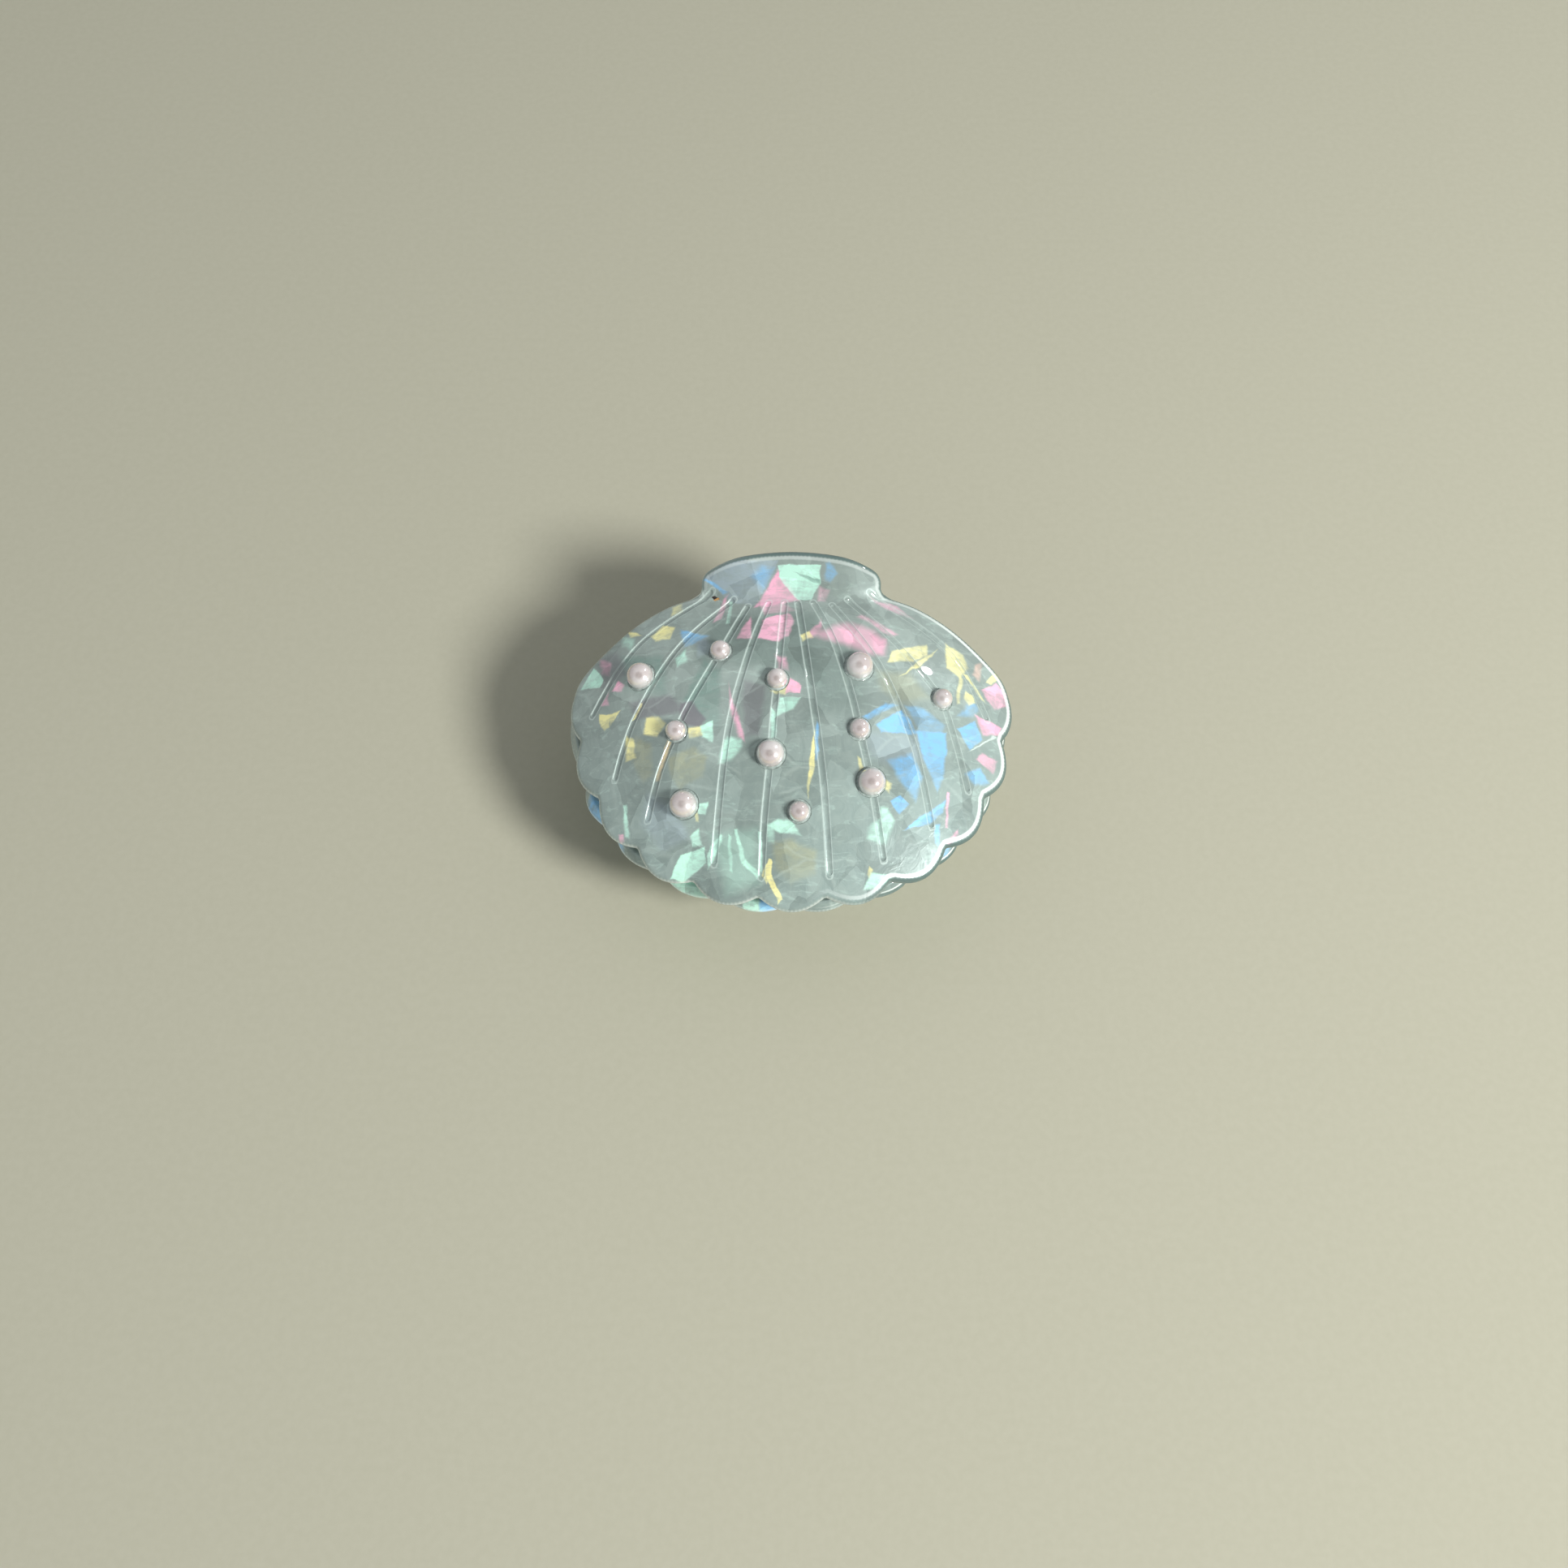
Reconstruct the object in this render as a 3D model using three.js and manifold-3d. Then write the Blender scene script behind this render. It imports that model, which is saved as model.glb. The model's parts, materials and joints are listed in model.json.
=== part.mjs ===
// Scallop-shell claw clip for hair: two domed acetate jaws with scalloped rims, a metal hinge with
// a torsion spring between them, and imitation-pearl beads set in drilled pockets.
// Millimetres, +Z up. The clip lies on its back jaw, handles towards +Y, rims meeting towards -Y.
// The jaws are drawn about the parting plane z = 0, and the clip is then stood on z = 0 at the end.
import * as THREE from "three";
import { mergeVertices } from "three/addons/utils/BufferGeometryUtils.js";
import Module from "manifold-3d";

const wasm = await Module();
wasm.setup();

// ---------------------------------------------------------------- driving dimensions

const sheet = 2.5; // thickness of the acetate
const dome = { foot: 2.05, rise: 11, halfWidth: 33.6, frontReach: 34, backReach: 30 };
const ear = { height: 10.9, y: 12, flare: 0.34, flatHalf: 7, droop: 0.045, from: 11.2, to: 14.4 };
const lobe = { notchRadius: 31.75, tipRadius: 33.35, fullness: 0.75, pitchDeg: 17.2, facets: 4 };
const gridCentreY = -2; // the jaw's outline is star-shaped about this point
const gridRings = [0.3, 0.5, 0.61, 0.67, 0.73, 0.8, 0.9, 1];

const largeBead = { radius: 2, pocketRadius: 2.3, pocketDepth: 1.75 };
const smallBead = { radius: 1.5, pocketRadius: 1.8, pocketDepth: 1.35 };
const beadSeat = 0.15; // glue line under a bead

const hinge = { y: 9, pinRadius: 1, holeRadius: 1.08, eyeRadius: 2.3, lug: 0.8 };
const innerLugX = 7.9;
const outerLugX = 9.5;
const jawPlay = 0.5; // the back half sits this far to -X along the pin
const pinHead = { radius: 1.6, length: 0.5, gap: 0.3 };
const leaf = { halfWidth: 12.8, from: 8.4, to: 14.8, gap: 0.4, thickness: 0.8 };
const prong = { x: 11.1, y: 13.7, radius: 0.6, reach: 1.2, clearance: 0.3 };
const spring = { wire: 1.1, meanRadius: 2.6, pitch: 1.25, turns: 6, legDeg: 55 };

// Beads on one jaw: x, y and which size.
const beads = [
  [-22, 0.8, largeBead],
  [-10.3, 3.1, smallBead],
  [-2.1, -2.1, smallBead],
  [9.7, 0.4, largeBead],
  [21.8, -2.9, smallBead],
  [-16.5, -8.7, smallBead],
  [9.6, -9.2, smallBead],
  [-3, -13.1, largeBead],
  [-15.3, -19.1, largeBead],
  [11.2, -16.5, largeBead],
  [1, -20.9, smallBead],
];

// ---------------------------------------------------------------- materials

const material = (color, roughness, metalness, opacity = 1) =>
  new THREE.MeshStandardMaterial({ color, roughness, metalness, opacity, transparent: opacity < 1 });

const acetate = material(0xa9bfba, 0.15, 0, 0.85);
const pearl = material(0xe6dcdc, 0.25, 0);
const plated = material(0xb8a888, 0.3, 1);
const steel = material(0x9a9a98, 0.35, 1);

// ---------------------------------------------------------------- solids and meshes

function toSolid(geometry) {
  const bare = geometry.clone();
  bare.deleteAttribute("normal");
  bare.deleteAttribute("uv");
  const merged = mergeVertices(bare, 1e-4);
  const vertProperties = new Float32Array(merged.attributes.position.array);
  const triVerts = new Uint32Array(merged.index.array);
  return new wasm.Manifold(new wasm.Mesh({ numProp: 3, vertProperties, triVerts }));
}

function toGeometry(solid) {
  const { vertProperties, triVerts } = solid.getMesh();
  const geometry = new THREE.BufferGeometry();
  geometry.setAttribute("position", new THREE.BufferAttribute(vertProperties, 3));
  geometry.setIndex(new THREE.BufferAttribute(triVerts, 1));
  return geometry;
}

function node(name, geometry, look) {
  const flat = geometry.index ? geometry.toNonIndexed() : geometry;
  flat.computeVertexNormals();
  const mesh = new THREE.Mesh(flat, look);
  mesh.name = name;
  return mesh;
}

// Turns a front part into its back twin by mirroring it in the parting plane.
function mirrored(geometry) {
  const twin = geometry.index ? geometry.toNonIndexed() : geometry.clone();
  const at = twin.attributes.position;
  const corner = new THREE.Vector3();
  const other = new THREE.Vector3();
  for (let i = 0; i < at.count; i += 3) {
    corner.fromBufferAttribute(at, i + 1);
    other.fromBufferAttribute(at, i + 2);
    at.setXYZ(i, at.getX(i), at.getY(i), -at.getZ(i));
    at.setXYZ(i + 1, other.x, other.y, -other.z);
    at.setXYZ(i + 2, corner.x, corner.y, -corner.z);
  }
  return twin;
}

// ---------------------------------------------------------------- the jaws

// The form of one jaw, drawn as the front jaw: its rim's notches lie at the given angles below +X
// and, mirrored, below -X, and frontScale shortens the half that faces -Y.
class JawForm {
  constructor(notches, frontScale) {
    this.notches = notches;
    this.frontScale = frontScale;
  }

  // Height of the outer face: a parabolic dome that turns up into a flared ear with a flat back.
  height(x, y) {
    const reach = y < 0 ? dome.frontReach * this.frontScale : dome.backReach;
    const domed = dome.foot + dome.rise * (1 - (x / dome.halfWidth) ** 2 - (y / reach) ** 2);
    const side = Math.max(0, Math.abs(x) - ear.flatHalf);
    const flared = ear.height + ear.flare * (y - ear.y) - ear.droop * side ** 2;
    const into = y - 0.5 * Math.max(0, Math.abs(x) - 11);
    return THREE.MathUtils.lerp(domed, flared, THREE.MathUtils.smoothstep(into, ear.from, ear.to));
  }

  normal(x, y) {
    const step = 0.05;
    const slopeX = (this.height(x + step, y) - this.height(x - step, y)) / (2 * step);
    const slopeY = (this.height(x, y + step) - this.height(x, y - step)) / (2 * step);
    return new THREE.Vector3(-slopeX, -slopeY, 1).normalize();
  }

  innerHeight(x, y) {
    return this.height(x, y) - sheet / this.normal(x, y).z;
  }

  // A point on the line square to the sheet at (x, y), at a level measured from the outer face.
  across(x, y, level) {
    return new THREE.Vector3(x, y, this.height(x, y)).addScaledVector(this.normal(x, y), level);
  }

  // A round rod square to the sheet at (x, y), between two such levels.
  rod(x, y, radius, low, high, sides) {
    const upright = new THREE.CylinderGeometry(radius, radius, high - low, sides);
    return this.stand(upright, x, y, (low + high) / 2);
  }

  // Turns a shape's Y axis square to the sheet at (x, y) and moves it to a level there.
  stand(shape, x, y, level) {
    const turn = new THREE.Quaternion().setFromUnitVectors(new THREE.Vector3(0, 1, 0), this.normal(x, y));
    const middle = this.across(x, y, level);
    return shape.applyQuaternion(turn).translate(middle.x, middle.y, middle.z);
  }

  // Points along the outline, clockwise from the middle of the ear.
  outline() {
    const polar = (deg, radius) => {
      const angle = -THREE.MathUtils.degToRad(deg);
      const reach = radius + lobe.fullness * Math.sin(2 * angle) ** 2; // fuller on the diagonals
      return new THREE.Vector2(reach * Math.cos(angle), reach * Math.sin(angle));
    };
    const halfPitch = THREE.MathUtils.degToRad(lobe.pitchDeg / 2);
    const bulge = 2 * lobe.tipRadius - lobe.notchRadius * Math.cos(halfPitch);
    const lobeTo = (path, fromDeg, toDeg) => {
      const pull = polar((fromDeg + toDeg) / 2, bulge);
      const end = polar(toDeg, lobe.notchRadius);
      path.quadraticCurveTo(pull.x, pull.y, end.x, end.y);
    };

    const side = new THREE.Path();
    side.moveTo(0, 19.3);
    side.quadraticCurveTo(6.8, 19.2, 12.5, 17.3);
    side.quadraticCurveTo(13.9, 16.7, 13.6, 14.6);
    const flank = [[18.6, 13.4], [24, 10.4], [29, 6.1], [31.8, 2.9], [32.85, -0.5]];
    side.splineThru(flank.map(([x, y]) => new THREE.Vector2(x, y)));
    const first = polar(this.notches[0], lobe.notchRadius);
    side.quadraticCurveTo(33.5, first.y * 0.6, first.x, first.y);
    this.notches.slice(1).forEach((deg, i) => lobeTo(side, this.notches[i], deg));

    const facets = [4, 3, 12];
    const right = [side.curves[0].getPoint(0)];
    side.curves.forEach((curve, i) => {
      right.push(...curve.getPoints(facets[i] ?? lobe.facets).slice(1));
    });
    const left = right.map((point) => new THREE.Vector2(-point.x, point.y)).reverse();
    const last = this.notches.at(-1);
    if (last < 90) {
      const front = new THREE.Path();
      front.moveTo(right.at(-1).x, right.at(-1).y);
      lobeTo(front, last, 180 - last);
      right.push(...front.curves[0].getPoints(lobe.facets).slice(1, -1));
    } else {
      left.shift();
    }
    const whole = [...right, ...left.slice(0, -1)];
    return whole.map(({ x, y }) => new THREE.Vector2(x, y < 0 ? y * this.frontScale : y));
  }

  // The plain sheet: rings of the outline shrunk towards its centre, on the outer face and, one
  // thickness below along the normal, on the inner face.
  sheet() {
    const outline = this.outline();
    const count = outline.length;
    const spots = [[0, gridCentreY]];
    for (const scale of gridRings) {
      for (const point of outline) {
        spots.push([point.x * scale, gridCentreY + (point.y - gridCentreY) * scale]);
      }
    }
    const positions = [];
    for (const level of [0, -sheet]) {
      for (const [x, y] of spots) {
        positions.push(...this.across(x, y, level).toArray());
      }
    }

    const index = [];
    const under = spots.length; // the inner face's vertices follow the outer face's
    const at = (ring, i) => 1 + ring * count + (i % count);
    const face = (a, b, c) => {
      index.push(a, c, b);
      index.push(a + under, b + under, c + under);
    };
    for (let i = 0; i < count; i++) {
      face(0, at(0, i), at(0, i + 1));
      for (let ring = 1; ring < gridRings.length; ring++) {
        face(at(ring - 1, i), at(ring, i), at(ring, i + 1));
        face(at(ring - 1, i), at(ring, i + 1), at(ring - 1, i + 1));
      }
      const [rim, next] = [at(gridRings.length - 1, i), at(gridRings.length - 1, i + 1)];
      index.push(rim, next, rim + under);
      index.push(next, next + under, rim + under);
    }
    const geometry = new THREE.BufferGeometry();
    geometry.setAttribute("position", new THREE.Float32BufferAttribute(positions, 3));
    geometry.setIndex(index);
    return geometry;
  }

  // The finished jaw: a flat-bottomed pocket for each bead and a blind slot for each hinge prong.
  jaw() {
    let solid = toSolid(this.sheet());
    for (const [x, y, bead] of beads) {
      solid = solid.subtract(toSolid(this.rod(x, y, bead.pocketRadius, -bead.pocketDepth, 2, 10)));
    }
    const slotRadius = prong.radius + prong.clearance;
    for (const x of [-prong.x, prong.x]) {
      const slot = this.rod(x, prong.y, slotRadius, -sheet - 1, prong.reach + prong.clearance - sheet, 10);
      solid = solid.subtract(toSolid(slot));
    }
    return toGeometry(solid);
  }

  beadBall([x, y, bead]) {
    const ball = new THREE.SphereGeometry(bead.radius, 10, 8);
    return this.stand(ball, x, y, bead.radius + beadSeat - bead.pocketDepth);
  }
}

// ---------------------------------------------------------------- the sprung hinge

// Middle of a hinge leaf's plate, which follows the inner face of its jaw.
function leafHeight(form, x, y) {
  return form.innerHeight(x, y) - leaf.gap - leaf.thickness / 2;
}

// A lug hangs from the plate and ends in an eye around the pin.
function lugPlate(form, x) {
  const { y, eyeRadius, holeRadius, lug } = hinge;
  const profile = new THREE.Shape();
  profile.moveTo(y - eyeRadius, 0);
  for (const along of [leaf.from + 0.4, y + 1.4, leaf.to - 2.4]) {
    profile.lineTo(along, leafHeight(form, x, along));
  }
  profile.lineTo(y + eyeRadius, 0);
  profile.absarc(y, 0, eyeRadius, 0, -Math.PI, true);
  profile.holes.push(new THREE.Path().absarc(y, 0, holeRadius, 0, 2 * Math.PI));
  const plate = new THREE.ExtrudeGeometry(profile, { depth: lug, bevelEnabled: false, curveSegments: 12 });
  const upright = new THREE.Matrix4().makeBasis(
    new THREE.Vector3(0, 1, 0),
    new THREE.Vector3(0, 0, 1),
    new THREE.Vector3(1, 0, 0),
  );
  return plate.applyMatrix4(upright).translate(x - lug / 2, 0, 0);
}

// One hinge leaf: curved plate, two lugs and two prongs pressed into the acetate.
function hingeLeaf(form, lugX) {
  const width = 2 * leaf.halfWidth;
  const plate = new THREE.BoxGeometry(width, leaf.to - leaf.from, leaf.thickness, 12, 5, 1);
  plate.translate(0, (leaf.from + leaf.to) / 2, 0);
  const at = plate.attributes.position;
  for (let i = 0; i < at.count; i++) {
    at.setZ(i, at.getZ(i) + leafHeight(form, at.getX(i), at.getY(i)));
  }
  let solid = toSolid(plate);
  for (const side of [-1, 1]) {
    solid = solid.add(toSolid(lugPlate(form, side * lugX)));
    const root = -sheet - leaf.gap - leaf.thickness / 2;
    const pressed = form.rod(side * prong.x, prong.y, prong.radius, root, prong.reach - sheet, 8);
    solid = solid.add(toSolid(pressed));
  }
  return toGeometry(solid);
}

function hingePin() {
  const { pinRadius } = hinge;
  const inside = outerLugX + hinge.lug / 2 + pinHead.gap;
  const end = inside + pinHead.length;
  const profile = [
    [0, -end],
    [pinHead.radius, -end],
    [pinHead.radius, -inside],
    [pinRadius, -inside],
    [pinRadius, inside],
    [pinHead.radius, inside],
    [pinHead.radius, end],
    [0, end],
  ];
  const turned = new THREE.LatheGeometry(profile.map(([r, along]) => new THREE.Vector2(r, along)), 24);
  return turned.rotateZ(Math.PI / 2).translate(0, hinge.y, 0);
}

// Torsion spring around the pin. Each leg leaves the coil square to its radius and lies under a leaf.
function torsionSpring() {
  const { wire, meanRadius, pitch, turns, legDeg } = spring;
  const leave = THREE.MathUtils.degToRad(90 + legDeg);
  const sweep = 2 * Math.PI * (turns + 1) - 2 * leave;
  const length = (pitch * sweep) / (2 * Math.PI);
  const steps = 12 * turns + 2;
  const coil = [];
  for (let i = 0; i <= steps; i++) {
    const share = i / steps;
    const angle = -leave + 2 * Math.PI * (turns + 1) - share * sweep;
    const y = hinge.y + meanRadius * Math.cos(angle);
    coil.push(new THREE.Vector3(length * (0.5 - share), y, meanRadius * Math.sin(angle)));
  }
  const away = new THREE.Vector3(0, Math.sin(leave), -Math.cos(leave));
  const knee = coil.at(-1).clone().addScaledVector(away, 5);
  const tip = knee.clone().add(new THREE.Vector3(0, 3, 0.3));
  const down = (point) => new THREE.Vector3(-point.x, point.y, -point.z);
  const points = [down(tip), down(knee), ...coil, knee, tip];
  const route = new THREE.CatmullRomCurve3(points, false, "centripetal");
  const section = new THREE.Shape().absarc(0, 0, wire / 2, 0, 2 * Math.PI);
  return new THREE.ExtrudeGeometry(section, { extrudePath: route, steps: steps + 16, curveSegments: 3 });
}

// ---------------------------------------------------------------- the clip

const frontForm = new JawForm([12.6, 29.8, 47, 64.2, 81.4], 1);
const backForm = new JawForm([21.2, 38.4, 55.6, 72.8, 90], 0.965);

const frontHalf = new THREE.Group();
frontHalf.add(node("front_shell", frontForm.jaw(), acetate));
frontHalf.add(node("front_hinge_leaf", hingeLeaf(frontForm, innerLugX), plated));

const backHalf = new THREE.Group();
backHalf.add(node("back_shell", mirrored(backForm.jaw()), acetate));
backHalf.add(node("back_hinge_leaf", mirrored(hingeLeaf(backForm, outerLugX)), plated));
backHalf.add(node("hinge_pin", hingePin(), steel));
backHalf.add(node("torsion_spring", torsionSpring(), steel));

beads.forEach((bead, i) => {
  frontHalf.add(node(`front_pearl_${i + 1}`, frontForm.beadBall(bead), pearl));
  backHalf.add(node(`back_pearl_${i + 1}`, mirrored(backForm.beadBall(bead)), pearl));
});
backHalf.position.x = -jawPlay;

const clip = new THREE.Group();
clip.add(frontHalf, backHalf);

// Stand the clip on z = 0 with the middle of its box over the origin.
const box = new THREE.Box3().setFromObject(clip, true);
const middle = box.getCenter(new THREE.Vector3());
clip.position.set(-middle.x, -middle.y, -box.min.z);

export default clip;
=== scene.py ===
"""Looks of a scallop-shell claw clip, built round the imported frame.

A jaw is worked out in millimetres about its own origin, which lies on the parting plane under the
dome's top, with +Y towards the handles. Jaw.place() turns that into metres in the shared frame.
"""
import json
import math

import bmesh
import bpy
import numpy as np
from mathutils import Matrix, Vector


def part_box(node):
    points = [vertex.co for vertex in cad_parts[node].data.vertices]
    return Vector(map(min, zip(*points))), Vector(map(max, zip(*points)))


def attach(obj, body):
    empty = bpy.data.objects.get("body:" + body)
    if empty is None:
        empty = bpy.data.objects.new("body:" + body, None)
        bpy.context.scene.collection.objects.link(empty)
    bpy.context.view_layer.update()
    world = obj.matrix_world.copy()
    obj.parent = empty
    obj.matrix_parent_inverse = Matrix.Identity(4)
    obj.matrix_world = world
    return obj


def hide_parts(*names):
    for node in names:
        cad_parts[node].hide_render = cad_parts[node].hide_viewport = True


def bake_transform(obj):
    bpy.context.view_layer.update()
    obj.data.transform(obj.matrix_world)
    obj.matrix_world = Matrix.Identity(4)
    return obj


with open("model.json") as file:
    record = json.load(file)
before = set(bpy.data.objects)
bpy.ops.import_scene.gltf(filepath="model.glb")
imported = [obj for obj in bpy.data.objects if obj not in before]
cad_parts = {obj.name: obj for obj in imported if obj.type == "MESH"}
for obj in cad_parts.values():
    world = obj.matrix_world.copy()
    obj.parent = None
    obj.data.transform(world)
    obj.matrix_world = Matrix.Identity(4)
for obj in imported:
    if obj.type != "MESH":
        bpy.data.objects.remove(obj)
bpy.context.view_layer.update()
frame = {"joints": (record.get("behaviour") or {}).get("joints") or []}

MM = 0.001
# The outline is drawn this much wider, because its rounded edge looks smaller. It stays in the CAD box.
SPREAD_X, SPREAD_BACK, SPREAD_FRONT = 1.009, 1.004, 1.01

# ---- dimensions, as in the CAD part

SHEET = 2.5
FOOT, RISE, HALF_WIDTH, FRONT_REACH, BACK_REACH = 2.05, 11.0, 33.6, 34.0, 30.0
EAR_HEIGHT, EAR_Y, EAR_FLARE, EAR_FLAT, EAR_DROOP, EAR_FROM, EAR_TO = 10.9, 12, 0.34, 7, 0.045, 11.2, 14.4
NOTCH_RADIUS, TIP_RADIUS, FULLNESS, LOBE_PITCH = 31.75, 33.35, 0.75, 17.2
GRID_CENTRE_Y = -2.0
HINGE_Y, PIN_RADIUS, EYE_RADIUS, EYE_HOLE, LUG = 9.0, 1.0, 2.3, 1.08, 0.8
INNER_LUG_X, OUTER_LUG_X = 7.9, 9.5
PIN_HEAD_RADIUS, PIN_HEAD, PIN_GAP = 1.6, 0.5, 0.3
LEAF_HALF, LEAF_FROM, LEAF_TO, LEAF_GAP, LEAF_THICK = 12.8, 8.4, 14.8, 0.4, 0.8
PRONG_X, PRONG_Y, PRONG_RADIUS, PRONG_REACH, PRONG_CLEAR = 11.1, 13.7, 0.6, 1.2, 0.3
WIRE, COIL_RADIUS, COIL_PITCH, COIL_TURNS, LEG_DEG = 1.1, 2.6, 1.25, 6, 55
BEAD_SEAT = 0.15
LARGE = {"radius": 2.0, "pocket": 2.25, "depth": 1.75}
SMALL = {"radius": 1.5, "pocket": 1.75, "depth": 1.35}
BEADS = [
    (-22, 0.8, LARGE),
    (-10.3, 3.1, SMALL),
    (-2.1, -2.1, SMALL),
    (9.7, 0.4, LARGE),
    (21.8, -2.9, SMALL),
    (-16.5, -8.7, SMALL),
    (9.6, -9.2, SMALL),
    (-3, -13.1, LARGE),
    (-15.3, -19.1, LARGE),
    (11.2, -16.5, LARGE),
    (1, -20.9, SMALL),
]

# Engraved grooves of the front jaw, from the ear to the rim. The back jaw has the same ones.
GROOVES = [
    [(-11.7, 14.2), (-21.2, 7.9), (-25.7, 2.6), (-29.4, -3.8)],
    [(-8.5, 12.6), (-16.4, 4.9), (-22, -4.2), (-24.2, -9.5), (-25.6, -14.3)],
    [(-6.4, 11.2), (-10.3, 3.1), (-15.1, -5.6), (-16.5, -8.7), (-18.9, -14.3), (-20.6, -20.7)],
    [(-3.3, 11.8), (-6.4, 1.8), (-9.2, -10.3), (-11, -27.3)],
    [(-1, 11.8), (-2.1, -2.1), (-2.6, -7.6), (-3, -13.1), (-3.9, -22), (-4.3, -29.3)],
    [(0.9, 11.8), (2.6, -2.3), (4.4, -16.4), (5.3, -29)],
    [(3.2, 11.8), (6.1, 4.6), (8.6, -4.4), (9.6, -9.2), (11.2, -16.5), (13, -26.7)],
    [(6, 11.4), (12.6, 1.2), (16.8, -8.7), (18.4, -14.2), (20, -21.6)],
    [(8.3, 12.6), (15.2, 5.4), (19.9, -0.4), (21.8, -2.9), (23.8, -9.3), (25.5, -15.8)],
    [(11.6, 14), (21.2, 7.6), (25.4, 2.7), (28.8, -4.5)],
]
GROOVE_HALF, GROOVE_DEPTH = 0.42, 0.2

OUTLINE_POINTS, ROUNDING_PASSES = 640, 14
OUTER_RINGS, INNER_RINGS = 60, 30
ROUND_SIDES, THIN_SIDES, BEAD_SIDES, WIRE_SIDES = 48, 24, 56, 18
OUTER_FILLET, INNER_FILLET = 0.9, 0.35


# ---- curves


def quadratic(start, pull, end, count=60):
    t = np.linspace(0, 1, count)[:, None]
    a, b, c = (np.array(p, float) for p in (start, pull, end))
    return (1 - t) ** 2 * a + 2 * t * (1 - t) * b + t**2 * c


def through(points, count=40):
    """A smooth line through the points: Catmull-Rom, with the ends repeated."""
    p = np.array(points, float)
    p = np.vstack([p[:1], p, p[-1:]])
    pieces = []
    t = np.linspace(0, 1, count, endpoint=False)[:, None]
    for a, b, c, d in zip(p, p[1:], p[2:], p[3:]):
        curve = 2 * b + (c - a) * t + (2 * a - 5 * b + 4 * c - d) * t**2 + (3 * b - a - 3 * c + d) * t**3
        pieces.append(curve / 2)
    return np.vstack([*pieces, p[-1:]])


def distances_along(line):
    return np.concatenate([[0], np.cumsum(np.linalg.norm(np.diff(line, axis=0), axis=1))])


def points_at(line, distances):
    run = distances_along(line)
    return np.column_stack([np.interp(distances, run, line[:, k]) for k in range(line.shape[1])])


def evenly(line, step=None, count=None, closed=False):
    """The same line with points at even distances."""
    if closed:
        line = np.vstack([line, line[:1]])
    length = distances_along(line)[-1]
    count = count or max(2, round(length / step) + 1)
    at = np.linspace(0, length, count + 1)[:-1] if closed else np.linspace(0, length, count)
    return points_at(line, at)


def circle(angles):
    return np.column_stack([np.cos(angles), np.sin(angles)])


def unit(rows):
    return rows / np.linalg.norm(rows, axis=-1, keepdims=True)


def smoothstep(x, low, high):
    t = np.clip((x - low) / (high - low), 0, 1)
    return t * t * (3 - 2 * t)


# ---- meshes


def put_in_scene(name, data):
    obj = bpy.data.objects.new(name, data)
    bpy.context.scene.collection.objects.link(obj)
    return obj


def new_object(name, vertices, faces, smooth_deg=35):
    mesh = bpy.data.meshes.new(name)
    mesh.from_pydata([tuple(v) for v in vertices], [], faces)
    mesh.validate()
    obj = put_in_scene(name, mesh)
    finish_shading(obj, smooth_deg)
    return obj


def finish_shading(obj, smooth_deg=35):
    mesh = obj.data
    mesh.polygons.foreach_set("use_smooth", [True] * len(mesh.polygons))
    mesh.set_sharp_from_angle(angle=math.radians(smooth_deg))
    mesh.update()


def tube_faces(rings, count, first=0, closed=False):
    """Quads between rings of count points each, and caps on the two end rings unless it is closed."""
    faces = []
    for r in range(rings if closed else rings - 1):
        low, high = first + r * count, first + (r + 1) % rings * count
        for i in range(count):
            j = (i + 1) % count
            faces.append((low + i, low + j, high + j, high + i))
    if not closed:
        faces.append(tuple(first + i for i in reversed(range(count))))
        faces.append(tuple(first + (rings - 1) * count + i for i in range(count)))
    return faces


def recalculate(obj):
    """Turns every face outwards."""
    work = bmesh.new()
    work.from_mesh(obj.data)
    bmesh.ops.recalc_face_normals(work, faces=work.faces)
    work.to_mesh(obj.data)
    work.free()


def combine(obj, other, operation):
    """Joins another closed solid to obj or cuts it away, and removes the other."""
    modifier = obj.modifiers.new("combine", "BOOLEAN")
    modifier.operation, modifier.object, modifier.solver = operation, other, "MANIFOLD"
    bpy.context.view_layer.update()
    done = obj.evaluated_get(bpy.context.evaluated_depsgraph_get())
    mesh = bpy.data.meshes.new_from_object(done)
    obj.modifiers.clear()
    old, obj.data = obj.data, mesh
    bpy.data.meshes.remove(old)
    mesh.name = obj.name
    bpy.data.objects.remove(other)


def revolve(profile, sides, closed=False):
    """Points and faces of (radius, level) pairs turned about an axis: columns across, across, along."""
    turn = np.linspace(0, 2 * math.pi, sides, endpoint=False)
    rings = [np.column_stack([circle(turn) * r, np.full(sides, level)]) for r, level in profile]
    return np.vstack(rings), tube_faces(len(profile), sides, closed=closed)


# ---- the jaws


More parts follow.
